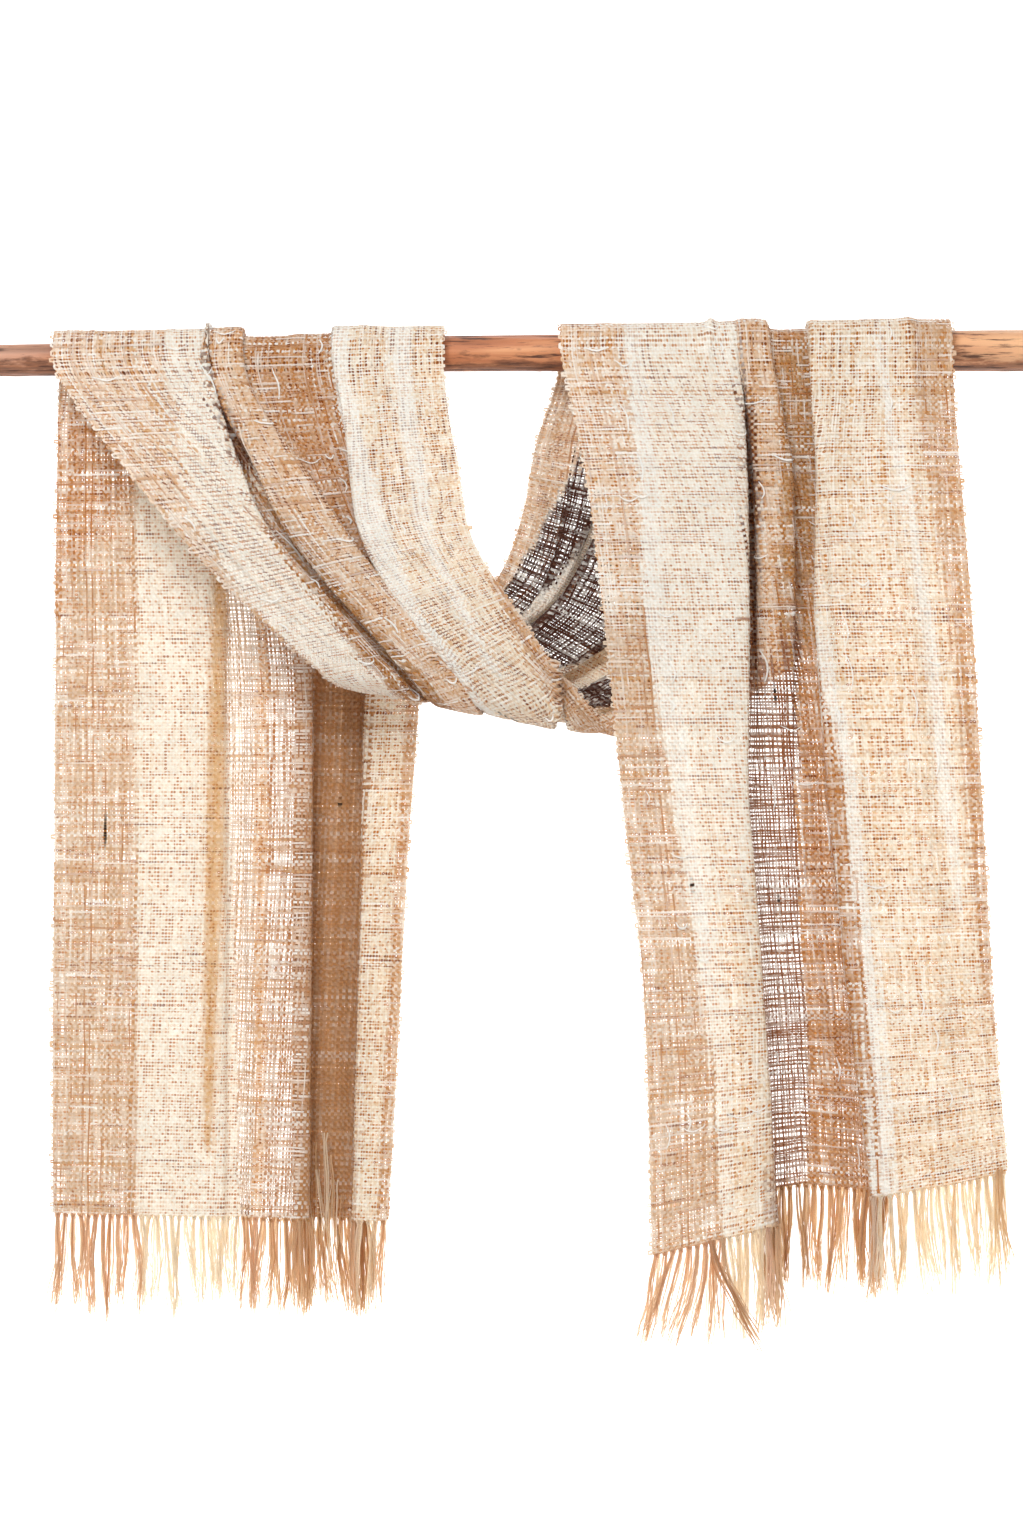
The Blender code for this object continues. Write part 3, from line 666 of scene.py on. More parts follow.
def plain_cloth(along, across):
    """Points of the cloth without its folds, lying on the rod where it passes over it."""
    ends = [smooth_line(PATH_ALONG, PATH_ROWS[:, column], along) for column in range(6)]
    share = across[..., None]
    point = np.stack(ends[:3], axis=-1) * (1 - share) + np.stack(ends[3:], axis=-1) * share
    for section in OVER_ROWS:
        start, end = ends_over_rod(section)
        near = (along >= start) & (along <= end)
        y, z = on_rod(point[..., 0], np.pi * (along - start) / (end - start))
        point[..., 1] = np.where(near, y, point[..., 1])
        point[..., 2] = np.where(near, z, point[..., 2])
    return point


def eased(share):
    """A smooth step from 0 to 1."""
    share = np.clip(share, 0, 1)
    return share * share * (3 - 2 * share)


def steered(along, places, values):
    """A value that changes evenly between the places given, with its corners rounded."""
    shifts = np.linspace(-CORNER_REACH, CORNER_REACH, 5)
    return sum(np.interp(along + shift, places, values) for shift in shifts) / len(shifts)


def fold_offsets(along, across):
    """How far the folds lift the cloth, and how far they draw it sideways."""
    lift = np.zeros_like(across)
    shift = np.zeros_like(across)
    for fold, rows in FOLDS.items():
        sections, *columns = zip(*rows)
        places = [place_of(section) for section in sections]
        start, end, rise, tuck = (steered(along, places, column) for column in columns)
        tuck = tuck * TUCK_MORE
        edge = (LEAST_EDGE + EDGE_SLOPES[fold] * np.abs(rise)) / SCARF_WIDTH
        edge = np.minimum(edge, (end - start) / 2)
        up = (across - start) / edge
        down = (end - across) / edge
        lift += rise * eased(up) * eased(down)
        shift += tuck * np.sin(2 * np.pi * np.clip(up, 0, 1))
        shift -= tuck * np.sin(2 * np.pi * np.clip(down, 0, 1))
    return lift, shift


def crease_lift(along, across):
    """How far the creases and a slow unevenness lift the cloth."""
    lift = np.zeros_like(across)
    for section, from_mm, from_share, to_mm, to_share, half_width, height in CREASES:
        share = (along - (place_of(section) + from_mm)) / (to_mm - from_mm)
        bend = CREASE_BEND * np.sin(np.pi * share * 1.6 + from_mm)
        middle = from_share + (to_share - from_share) * share + bend
        off = (across - middle) * SCARF_WIDTH / half_width
        fade = np.sin(np.pi * np.clip(share, 0, 1)) ** 0.7
        lift += height * fade * np.exp(-off * off)
    for wave in range(WAVES):
        length = LONGEST_WAVE / (1 + 0.55 * wave)
        turn = 0.9 + 1.7 * wave
        slope = math.cos(turn) * across * SCARF_WIDTH + math.sin(turn) * along * 0.6
        lift += HIGHEST_WAVE / (1 + 0.4 * wave) * np.sin(2 * np.pi * slope / length + turn * 3)
    return lift


def unit(vectors):
    """Vectors at length 1."""
    return vectors / np.maximum(np.linalg.norm(vectors, axis=-1, keepdims=True), 1e-9)


def folded_cloth(along, across):
    """Points of the middle of the cloth, with its folds and creases."""
    step_along = 0.5
    step_across = 0.002
    forward = plain_cloth(along + step_along, across) - plain_cloth(along - step_along, across)
    sideways = plain_cloth(along, across + step_across) - plain_cloth(along, across - step_across)
    normal = unit(np.cross(forward, sideways))
    lift, shift = fold_offsets(along, across)
    crease = crease_lift(along, across)
    on_wood = np.zeros_like(along)
    for section in OVER_ROWS:
        start, end = ends_over_rod(section)
        on_wood = np.maximum(on_wood, eased(1.6 - np.abs(along - place_of(section)) / (end - start)))
    lift = lift + (crease * (1 - on_wood) + np.maximum(crease, 0) * on_wood)
    return plain_cloth(along, across) + normal * lift[..., None] + unit(sideways) * shift[..., None]


class ClothMap:
    """The folded cloth on a fine grid, to be read at any place along it and across its width.

    Across it, the grid's columns are evenly spaced on the folded cloth, as its warps are.
    """

    def __init__(self):
        rows = np.linspace(0, SCARF_LENGTH, int(SCARF_LENGTH / MAP_STEP) + 1)
        even = np.linspace(0, 1, MAP_COLUMNS)
        along, across = np.meshgrid(rows, even, indexing="ij")
        steps = np.linalg.norm(np.diff(folded_cloth(along, across), axis=1), axis=2)
        run = np.pad(np.cumsum(steps, axis=1), ((0, 0), (1, 0)))
        shares = np.array([np.interp(even * row[-1], row, even) for row in run])
        reach = int(THREADS_SHIFT_OVER / MAP_STEP)
        padded = np.pad(shares, ((reach, reach), (0, 0)), mode="edge")
        weights = np.hanning(2 * reach + 3)[1:-1]
        shifted = (weight * padded[first:first + len(rows)] for first, weight in enumerate(weights))
        self.shares = sum(shifted) / weights.sum()
        self.points = folded_cloth(along, self.shares)

    def read(self, along, width_share):
        """Points and shares of the section at places along the cloth and even shares of its width."""
        rows, columns = self.shares.shape
        row = np.clip(along / SCARF_LENGTH, 0, 1) * (rows - 1)
        column = np.clip(width_share, 0, 1) * (columns - 1)
        top = np.minimum(row.astype(int), rows - 2)
        left = np.minimum(column.astype(int), columns - 2)
        down = row - top
        right = column - left
        weights = ((1 - down) * (1 - right), (1 - down) * right, down * (1 - right), down * right)
        corners = ((top, left), (top, left + 1), (top + 1, left), (top + 1, left + 1))
        point = sum(weight[..., None] * self.points[corner] for weight, corner in zip(weights, corners))
        return point, sum(weight * self.shares[corner] for weight, corner in zip(weights, corners))


def random_curves(count, places, spacing):
    """Smooth random numbers, a row for each thread, at places along it."""
    knots = int((places.max() - places.min()) / spacing) + 3
    values = rng.standard_normal((count, knots))
    at = (places - places.min()) / spacing
    index = at.astype(int)
    share = eased(at - index)
    return values[:, index] * (1 - share) + values[:, index + 1] * share


def uneven_steps(count, unevenness, wide_every=0, wide=1.0):
    """Places from 0 to 1 in uneven steps, some of them wide."""
    steps = 1 + unevenness * rng.standard_normal(count).clip(-2, 2)
    at = 3
    while wide_every and at < count:
        steps[at] *= wide
        at += int(rng.integers(wide_every // 2, wide_every * 2))
    places = np.concatenate(([0.0], np.cumsum(steps)))
    return places / places[-1]


YARN_NAMES = [yarn[0] for yarn in YARNS]


def column_of(name):
    """One column of the table of yarns, with its colours as linear numbers."""
    values = [yarn[YARN_COLUMNS.index(name)] for yarn in YARNS]
    return linear(values) if name == "colour" else np.array(values)


def mixed(weights, name):
    """One column of the table of yarns, mixed by how much each yarn counts at each place."""
    values = column_of(name)
    means = np.tensordot(values.T, weights, axes=1)
    return means if values.ndim == 1 else np.moveaxis(means, 0, -1)


def stripe_weights(along, share, soft):
    """How much each stripe's yarn counts at places on the cloth, on a first axis."""
    sections, *edges = zip(*STRIPES)
    places = [place_of(section) for section in sections]
    past = [np.ones_like(share)]
    past += [eased((share - np.interp(along, places, edge)) / soft + 0.5) for edge in edges]
    past.append(np.zeros_like(share))
    weights = np.zeros((len(YARNS), *share.shape))
    weights[:len(past) - 1] = -np.diff(past, axis=0)
    for yarn, rows in BANDS:
        places = [place_of(row[0]) + row[1] for row in rows]
        start = np.interp(along, places, [row[2] for row in rows])
        end = np.interp(along, places, [row[3] for row in rows])
        band_soft = max(soft, BAND_SOFTNESS.get(yarn, 0))
        inside = eased((share - start) / band_soft + 0.5) * eased((end - share) / band_soft + 0.5)
        for from_end in (along - places[0], places[-1] - along):
            inside = inside * eased(from_end / BAND_END + 1)
        weights = weights * (1 - inside)
        weights[YARN_NAMES.index(yarn)] += inside
    return weights


def toned(colour, tone):
    """Colours moved towards light yarn where the tone is above 0, and to a deeper colour below 0."""
    up = tone.clip(0, 1)[..., None]
    down = (-tone).clip(0, 1)[..., None]
    return colour + (linear(LIGHT_YARN) - colour) * up + colour * (DEEPER - 1) * down


def hem_lifted(along, share):
    """Places along the cloth, drawn up near the right hem."""
    lift = np.interp(share, *zip(*HEM_LIFT))
    return along - lift * eased((along - (SCARF_LENGTH - HEM_LIFT_LENGTH)) / HEM_LIFT_LENGTH)


@dataclass
class Threads:
    """The warps or the wefts, with the ways they change.

    weave adds places, the millimetres along a thread where the other set crosses
    it, and what differs from crossing to crossing, with a row for each warp.
    """

    name: str
    count: int
    pitch: float
    far_wander: float
    near_wander: float
    near_share: float
    slub_run: float
    tone_run: float
    light_least: float
    dive_shade: tuple

    def on_crossings(self, values):
        """Values with a row for each thread, turned to have a row for each warp."""
        return values.T if self.name == "weft" else values

    def own(self):
        """A random number for each thread."""
        return self.on_crossings(rng.standard_normal(self.count)[:, None])

    def drift(self, spacing):
        """Smooth random numbers along each thread."""
        return self.on_crossings(random_curves(self.count, self.places, spacing))

    def wander(self):
        """How far each thread leaves its straight line."""
        far = 0.7 * self.drift(self.far_wander)
        return far + self.near_share * self.drift(self.near_wander)

    def long_or_short(self, whole, least):
        """From 0 to 1 along each thread: a few threads from end to end, others in pieces."""
        pieces = eased((self.drift(24) - least) / 0.35)
        to_the_end = self.on_crossings(rng.random(self.count)[:, None] < whole)
        return np.maximum(pieces, to_the_end * (0.75 + 0.25 * self.drift(18)).clip(0, 1))

    def mixed(self, column):
        """One column of the table of yarns, at each crossing."""
        return mixed(self.weights, column)

    def lay(self, normal, line, beside):
        """Which way each thread's width runs, and how much room it has."""
        self.side = unit(np.cross(normal, unit(line)))
        room = np.abs((beside * self.side).sum(axis=-1))
        self.room = 0.5 * room.clip(0, 1.6 * self.pitch) + 0.5 * self.pitch

    def dress(self):
        """How much of its room each thread fills, its colour, and where it is a light or dark yarn."""
        contrast = self.mixed("contrast")
        rough = (contrast / 0.32).clip(0.2, 1.4)
        self.part = FILL * self.mixed(self.name + "_fill") * (
            1 + rough * self.uneven + 0.6 * self.slub * rough
        )
        self.part *= 1 - 0.5 * np.maximum(self.dark, 0.8 * self.light).clip(0, 1)
        colour = self.mixed("colour")
        if self.name == "weft":
            tint = self.mixed("tint")[..., None]
            colour = colour * tint + linear(WEFT_COLOUR) * (1 - tint)
        colour = toned(colour, contrast * self.tone)
        for yarn, much in ((DARK_YARN, self.dark), (LIGHT_YARN, self.light)):
            colour += (linear(yarn) - colour) * (0.6 * much)[..., None]
        self.colour = colour
        self.odd = np.maximum(self.light, self.dark) > 0.5


def crossings(cloth_map, warp, weft, warp_at, weft_mm):
    """Where the threads cross, and how far across the width. It also sets the threads' stripes."""
    start = place_of("over_left")
    end = place_of("over_right")
    slant = WEFT_SLANT * np.sin(np.pi * np.clip((weft_mm - start) / (end - start), 0, 1)) ** 1.5
    along = weft_mm[None, :] - slant[None, :] * (2 * warp_at[:, None] - 1)
    width_share = np.repeat(warp_at[:, None], weft.count, axis=1)
    _, share = cloth_map.read(along, width_share)
    stray = np.interp(along, [place_of(row[0]) for row in STRAYS], [row[1] for row in STRAYS])
    strayed = share + stray * warp.own().clip(-1.6, 1.6)
    warp.weights = stripe_weights(along + WARP_SHIFT * warp.own(), strayed, WARP_SOFTNESS)
    weft.weights = stripe_weights(along, share + 0.5 * stray * weft.own(), WEFT_SOFTNESS)
    wander = warp.mixed("wander")
    width_share = width_share + wander * warp.wander() * warp.pitch / SCARF_WIDTH
    along = along + wander * weft.wander() * weft.pitch
    along[:, 0] = 0
    along[:, -1] = SCARF_LENGTH
    width_share[0] = 0
    width_share[-1] = 1
    return cloth_map.read(hem_lifted(along, width_share), width_share)


def weave(cloth_map):
    """The threads' lines, directions, widths and colours at every crossing."""
    warp = Threads("warp", int(SCARF_WIDTH / WARP_PITCH), WARP_PITCH, *WARP_WAYS)
    weft = Threads("weft", int(SCARF_LENGTH / WEFT_PITCH), WEFT_PITCH, *WEFT_WAYS)
    both = (warp, weft)
    warp_at = uneven_steps(warp.count - 1, 0.10)
    weft_mm = uneven_steps(weft.count - 1, 0.12, wide_every=12, wide=1.2) * SCARF_LENGTH
    warp.places = weft_mm
    weft.places = warp_at * SCARF_WIDTH
    point, share = crossings(cloth_map, warp, weft, warp_at, weft_mm)
    down = np.gradient(point, axis=1)
    across = np.gradient(point, axis=0)
    normal = unit(np.cross(unit(down), across))
    warp.lay(normal, down, across)
    weft.lay(normal, across, down)

    # Each loop draws one kind of random number for both sets, which keeps their order
    for threads in both:
        threads.slub = np.clip(threads.drift(threads.slub_run) - 1.5, 0, 1.0)
    for threads in both:
        threads.uneven = 0.09 * threads.own() + 0.08 * threads.drift(6)
    for threads in both:
        threads.tone = 0.8 * threads.own() + 0.7 * threads.drift(threads.tone_run) + 0.5 * threads.drift(5)
    for threads in both:
        threads.light = threads.long_or_short(0.05, threads.light_least) * threads.mixed("lights")
    for threads in both:
        threads.dark = threads.long_or_short(0.02, 1.30) * threads.mixed("darks")
        threads.dress()

    warp_cell, weft_cell = np.indices(share.shape)
    over = np.where((warp_cell + weft_cell) % 2, 1.0, -1.0)
    start, bottom, end = (place_of(section) for section in ("over_left", "bottom", "over_right"))
    faces_front = (weft_mm > start) & (weft_mm < bottom) | (weft_mm > end)
    seen = np.where(faces_front, 1.0, -1.0)[None, :]
    over = np.where(warp.odd & ~weft.odd, seen, over)
    over = np.where(weft.odd & ~warp.odd, -seen, over)
    # Painted shade: a thread is tinted darker where it dives under the other set
    warp.colour *= np.where((over < 0)[..., None], warp.dive_shade, 1.0)
    weft.colour *= np.where((over > 0)[..., None], weft.dive_shade, 1.0)
    for section, from_mm, dark_share, length in DARK_SLUBS:
        middle = place_of(section) + from_mm
        row = np.argmin(np.abs(share[:, np.argmin(np.abs(weft_mm - middle))] - dark_share))
        near = np.exp(-((weft_mm - middle) / (0.4 * length)) ** 4)
        warp.part[row] *= 1 + 0.6 * near
        warp.colour[row] += (linear(DARK_SLUB) - warp.colour[row]) * near[:, None]

    cloth = {"weft_mm": weft_mm, "point": point, "normal": normal}
    # Each crossing's cell: its warp, its weft, and how strongly the painted shade of its pinhole shows
    cell = np.stack((warp_cell, weft_cell, warp.mixed("hole_shading")), axis=-1)
    lift = normal * (over * THREAD_HEIGHT)[..., None]
    for threads, side, half_cell in ((warp, 1, (0.5, 0, 0)), (weft, -1, (0, -0.5, 0))):
        cloth[threads.name] = (
            point + side * lift, normal, threads.side, threads.part * threads.room, threads.colour,
            cell, threads.part[..., None] * half_cell,
        )
    return cloth


def ribbons(line, normal, side, width, colour, cell=None, cell_side=0.0):
    """Vertices, normals, colours, weave places and faces for threads as flat ribbons.

    The normals lean outwards at a ribbon's edges, so it is shaded as a round yarn.
    """
    half = side * (width / 2)[..., None]
    cell = np.zeros_like(line) if cell is None else cell
    tints = np.broadcast_to(colour, line.shape)
    layers = (
        (line - half, line + half),
        (unit(normal - side * ROUNDNESS), unit(normal + side * ROUNDNESS)),
        (tints, tints),
        (cell - cell_side, cell + cell_side),
    )
    count, points = line.shape[:2]
    corner = np.arange(count)[:, None] * points * 2 + np.arange(points - 1)[None, :] * 2
    faces = np.stack((corner, corner + 2, corner + 3, corner + 1), axis=-1)
    return *(np.stack(layer, axis=2).reshape(-1, 3) for layer in layers), faces.reshape(-1, 4)


def selvedge_loops(cloth, rows, edge):
    """Short ribbons where a weft turns round the outermost warp and comes back."""
    line, _, _, width, colour, _, _ = cloth["weft"]
    out_line = line[edge, rows]
    outward = unit(out_line - line[edge + 1 if edge == 0 else edge - 1, rows])
    starts = np.arange(0 if edge == 0 else 1, len(rows) - 1, 2)
    reach = (0.8 + 1.6 * np.abs(rng.standard_normal(len(starts)))).clip(0.6, 4.2)[:, None]
    first = out_line[starts]
    last = out_line[starts + 1]
    out = (outward[starts] + outward[starts + 1]) / 2 * reach
    path = np.stack((first, first * 0.8 + last * 0.2 + out, first * 0.2 + last * 0.8 + out, last), axis=1)
    run = unit(np.gradient(path, axis=1))
    normal = np.broadcast_to(cloth["normal"][edge, rows][starts][:, None, :], run.shape)
    wide = np.repeat(width[edge, rows][starts][:, None] * 0.6, 4, axis=1)
    return ribbons(path, normal, unit(np.cross(normal, run)), wide, colour[edge, rows][starts][:, None, :])


def loose_floats(cloth, begin, end, count):
    """Loose pieces of thick light yarn that stand off the cloth's outer face."""
    warps, wefts = cloth["point"].shape[:2]
    share = np.linspace(0, 1, 9)
    lines = []
    for _ in range(count):
        warp = int(rng.integers(4, warps - 14))
        weft = int(rng.integers(begin, max(begin + 1, end - 12)))
        length = int(rng.integers(3, 11))
        if rng.random() < 0.6:
            picked = np.stack((warp + share * length, weft + 1.5 * np.sin(3 * share)), axis=1)
        else:
            picked = np.stack((warp + 1.2 * np.sin(3 * share), weft + share * length), axis=1)
        column, row = picked.astype(int).T
        part = picked - np.floor(picked)
        here = cloth["point"][column, row]
        beside = cloth["point"][column + 1, row] - here
        below = cloth["point"][column, np.minimum(row + 1, wefts - 1)] - here
        off = cloth["normal"][column, row] * (0.6 + 0.9 * np.sin(np.pi * share))[:, None]
        lines.append(here + beside * part[:, :1] + below * part[:, 1:] + off)
    line = np.array(lines)
    run = unit(np.gradient(line, axis=1))
    normal = np.broadcast_to(unit(cloth["normal"][:, begin:end].mean(axis=(0, 1))), line.shape)
    thick = rng.uniform(0.8, 1.5, (count, 1)) * (0.6 + 0.5 * np.sin(np.pi * share))
    return ribbons(line, normal, unit(np.cross(normal, run)), thick, linear(LIGHT_YARN) * 0.97)


def ring_faces(rings, sides):
    """Faces between rings of vertices that follow each other."""
    side = np.arange(sides)[None, :]
    start = np.arange(rings - 1)[:, None] * sides
    low = start + side
    beside = start + (side + 1) % sides
    return np.stack((low, beside, beside + sides, low + sides), axis=-1).reshape(-1, 4)


def tube(path, radii, tint):
    """Vertices, normals, colours, weave places and faces of a tube along a path."""
    run = unit(np.gradient(path, axis=0))
    across = unit(np.cross(run, (0.0, 1.0, 0.0)))
    angles = (2 * np.pi * np.arange(TUBE_SIDES) / TUBE_SIDES)[None, :, None]
    ring = np.cos(angles) * across[:, None, :] + np.sin(angles) * np.cross(run, across)[:, None, :]
    vertices = (path[:, None, :] + ring * radii[:, None, None]).reshape(-1, 3)
    tints = np.broadcast_to(tint, vertices.shape)
    return vertices, ring.reshape(-1, 3), tints, np.zeros_like(vertices), ring_faces(len(path), TUBE_SIDES)


def mesh_piece(name, node, slot, material, vertices, faces, normals=None, colours=None, cells=None):
    """A visible piece from points in millimetres, in place of one of the solids."""
    mesh = bpy.data.meshes.new(name)
    mesh.from_pydata((vertices * METRES_PER_MM).tolist(), [], faces)
    mesh.shade_smooth()
    if colours is not None:
        layer = mesh.color_attributes.new("yarn", "FLOAT_COLOR", "POINT")
        rgba = np.concatenate((colours, np.ones((len(colours), 1))), axis=1)
        layer.data.foreach_set("color", rgba.astype(np.float32).ravel())
    if cells is not None:
        layer = mesh.attributes.new("cell", "FLOAT_VECTOR", "POINT")
        layer.data.foreach_set("vector", cells.astype(np.float32).ravel())
    if normals is not None:
        mesh.normals_split_custom_set_from_vertices(normals.tolist())
    mesh.update()
    mesh.materials.append(material)
    piece = bpy.data.objects.new(name, mesh)
    bpy.context.scene.collection.objects.link(piece)
    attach(piece, "root")
    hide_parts(node)
    return piece


def joined(parts):
    """One set of vertices, normals, colours, weave places and faces from several."""
    offsets = np.cumsum([0] + [len(part[0]) for part in parts[:-1]])
    faces = np.concatenate([part[4] + offset for part, offset in zip(parts, offsets)])
    return *(np.concatenate([part[field] for part in parts]) for field in range(4)), faces.tolist()


def stretch_piece(node, cloth, first_section, last_section, material):
    """One stretch of the woven scarf, as a mesh of threads."""
    places = [place_of(first_section), place_of(last_section)]
    length = places[1] - places[0]
    begin, end = np.searchsorted(cloth["weft_mm"], places)
    last_weft = len(cloth["weft_mm"]) - 1
    end = min(end, last_weft)
    rows = np.arange(begin, end + 1 if end == last_weft else end)
    vertices, normals, colours, cells, faces = joined([
        ribbons(*(part[:, begin:end + 1] for part in cloth["warp"])),
        ribbons(*(np.swapaxes(part[:, rows], 0, 1) for part in cloth["weft"])),
        selvedge_loops(cloth, rows, 0),
        selvedge_loops(cloth, rows, len(cloth["point"]) - 1),
        loose_floats(cloth, begin, end, int(length / FLOAT_EVERY)),
    ])
    looks = (normals, colours, cells)
    piece = mesh_piece(node + "_woven", node, "scarf_silk", material, vertices, faces, *looks)


def yarn_lock(root, middle, length, swing, yarns, tint, across):
    """One bunch's loose yarns, each a line, widths and a colour. They lean to the middle of their lock."""
    fan = rng.uniform(1.0, 3.2)
    bend = rng.uniform(-2.4, 2.4)
    lock_wave = rng.uniform(0, 6.28)
    steps = np.linspace(0, 1, 15)
    lock = []
    for side in np.linspace(-1, 1, yarns) + 0.25 * rng.standard_normal(yarns):
        own_length = length * rng.uniform(0.78, 1.05)
        spread = 0.5 + fan * np.sin(np.pi * steps ** 0.6) * rng.uniform(0.4, 1.3)
        spread = spread + rng.uniform(-0.3, 3.2) * steps ** 2
        wave_size = rng.uniform(0.4, 1.3)
        waves = rng.uniform(0.8, 2.2)
        wave = wave_size * np.sin(2 * np.pi * steps * waves + rng.uniform(0, 6.28))
        wave = (wave + 1.1 * np.sin(5 * steps + lock_wave)) * steps ** 0.8
        stray = 5.0 * rng.standard_normal() if rng.random() < 0.10 else 0.0
        pulled = (middle - root[0]) * rng.uniform(0.0, 0.9) * eased(steps / 0.75)
        start = 1.9 * np.maximum(1 - steps * 26, 0)
        ahead = rng.uniform(-1.3, 1.3) * np.sin(np.pi * steps * 0.8)
        x = root[0] + side * (spread + start) + wave + pulled
        x = x + bend * np.sin(np.pi * steps) + swing * steps ** 1.4 + stray * steps ** 2
        y = root[1] + ahead + across[1] * side * start
        z = root[2] - own_length * steps + across[2] * side * start
        slubs = 1 + 0.12 * np.sin(steps * 47 + 9 * side)
        widths = rng.uniform(0.8, 1.5) * (1 - 0.5 * steps ** 2) * slubs
        tone = tint * LOOSE_TINT * rng.uniform(0.9, 1.05) * (DEEPER if rng.random() < 0.10 else 1.0)
        tone = tone + (linear(FRINGE_LIGHT) - tone) * rng.uniform(0.12, 0.58)
        lock.append((np.stack((x, y, z), axis=1), widths, tone))
    return lock


def knot(root, tint):
    """The small knot at the root of a bunch."""
    down = np.linspace(-KNOT_HALF, KNOT_HALF, 6)
    middle = 1.6 + 1.2 * rng.random()
    line = root + np.stack((0.5 * np.sin(down * 2), 0.4 * np.cos(down * 2), -middle - down), axis=1)
    size = 0.6 + 0.75 * np.cos(down / KNOT_HALF * np.pi / 2) * (0.8 + 0.4 * rng.random())
    return tube(line, size, tint)


def fringe_piece(node, hem, left_length, right_length, swings, cloth_map, material):
    """The warp ends at one hem: a small knot for each bunch, its loose yarns, and locks that stand out.

    A yarn is a flat ribbon turned by an angle of its own, so some show from every side.
    """
    place, inwards = (0.0, 1) if hem == PATH_NAMES[0] else (SCARF_LENGTH, -1)
    centres = (np.arange(STRANDS) + 0.5) / STRANDS
    places = hem_lifted(np.full(STRANDS, place), centres)
    roots, shares = cloth_map.read(places, centres)
    beside, _ = cloth_map.read(places, (centres + 0.3 / STRANDS).clip(0, 1))
    across = unit(beside - roots)
    colours = mixed(stripe_weights(np.full(STRANDS, place), shares, FRINGE_SOFTNESS), "colour")
    colours = 0.5 * colours + 0.5 * np.maximum(colours, linear(FRINGE_YARN))
    parts = []
    loose = []
    left_in_lock = 0
    for index in range(STRANDS):
        if left_in_lock == 0:
            left_in_lock = min(int(rng.integers(1, 4)), STRANDS - index)
            middle = roots[index:index + left_in_lock, 0].mean() + 1.5 * rng.standard_normal()
            lock_swing = 2.2 * rng.standard_normal()
            lock_length = rng.uniform(0.90, 1.06)
        left_in_lock -= 1
        share = index / (STRANDS - 1)
        length = (left_length + (right_length - left_length) * share) * lock_length
        swing = np.interp(share, *zip(*swings)) + lock_swing + 0.8 * rng.standard_normal()
        root = roots[index] - np.array((0, 0, SEAM_GAP))
        parts.append(knot(root, colours[index] * LOOSE_TINT))
        yarns = int(rng.integers(*BUNCH_YARNS))
        loose += yarn_lock(root, middle, length, swing, yarns, colours[index], across[index])
    for lock_hem, share, above, before, length, swing, yarns, yarn in LOCKS:
        if lock_hem == hem:
            root, _ = cloth_map.read(np.array([place + inwards * above]), np.array([share]))
            root = root[0] - np.array((0, before, 0))
            tint = column_of("colour")[YARN_NAMES.index(yarn)]
            loose += yarn_lock(root, root[0], length, swing, yarns, tint, across[0])
    line, width, tone = (np.array(values) for values in zip(*loose))
    run = unit(np.gradient(line, axis=1))
    turn = rng.uniform(-1.15, 1.15, len(line))[:, None]
    facing = np.stack((np.sin(turn), -np.cos(turn), np.zeros_like(turn)), axis=-1)
    side = unit(np.cross(facing, run))
    parts.append(ribbons(line, np.cross(run, side), side, width, tone[:, None, :]))
    vertices, normals, tints, _, faces = joined(parts)
    mesh_piece(node + "_yarns", node, "fringe_silk", material, vertices, faces, normals, tints)


def rod_piece(material):
    """The pole with its long flats, shallow cracks and knots, and its flat sawn ends."""
    half = ROD_LENGTH / 2 - ROD_INSET
    x = np.linspace(-half, half, ROD_RINGS)[:, None]
    angle = 2 * np.pi * np.arange(ROD_SIDES)[None, :] / ROD_SIDES
    radius = rod_radius(x) - ROD_SHAVED
    radius = radius + 0.22 * np.sin(2 * angle + x / 90) + 0.16 * np.sin(3 * angle - x / 61)
    radius = radius + 0.12 * np.sin(5 * angle + x / 23) * np.sin(x / 47)
    for turn, start, end, depth in ROD_CRACKS:
        path = turn + 0.10 * np.sin(x / 17) + 0.05 * np.sin(x / 6.1)
        off = (np.angle(np.exp(1j * (angle - path)))) / 0.07
        fade = np.sin(np.pi * np.clip((x - start) / (end - start), 0, 1)) ** 0.5
        radius = radius - depth * fade * np.exp(-off * off)
    for knot_x, turn, size, rise in ROD_KNOTS:
        off = ((x - knot_x) / size) ** 2 + (np.angle(np.exp(1j * (angle - turn))) * 15 / size) ** 2
        radius = radius + rise * np.exp(-off) - 0.8 * rise * np.exp(-off * 5)
    y = np.cos(angle) * radius
    z = rod_height(x) + np.sin(angle) * radius
    vertices = np.stack((np.broadcast_to(x, radius.shape), y, z), axis=-1).reshape(-1, 3)
    first_end = list(reversed(range(ROD_SIDES)))
    last_end = list(range(len(vertices) - ROD_SIDES, len(vertices)))
    faces = [*ring_faces(ROD_RINGS, ROD_SIDES).tolist(), first_end, last_end]
    piece = mesh_piece("rod_peeled", "rod", "rod_wood", material, vertices, faces)
    for end in piece.data.polygons[-2:]:
        end.use_smooth = False


def rgba(colour):
    """An sRGB colour from 0 to 255, as a node takes it."""
    return (*linear(colour), 1.0)


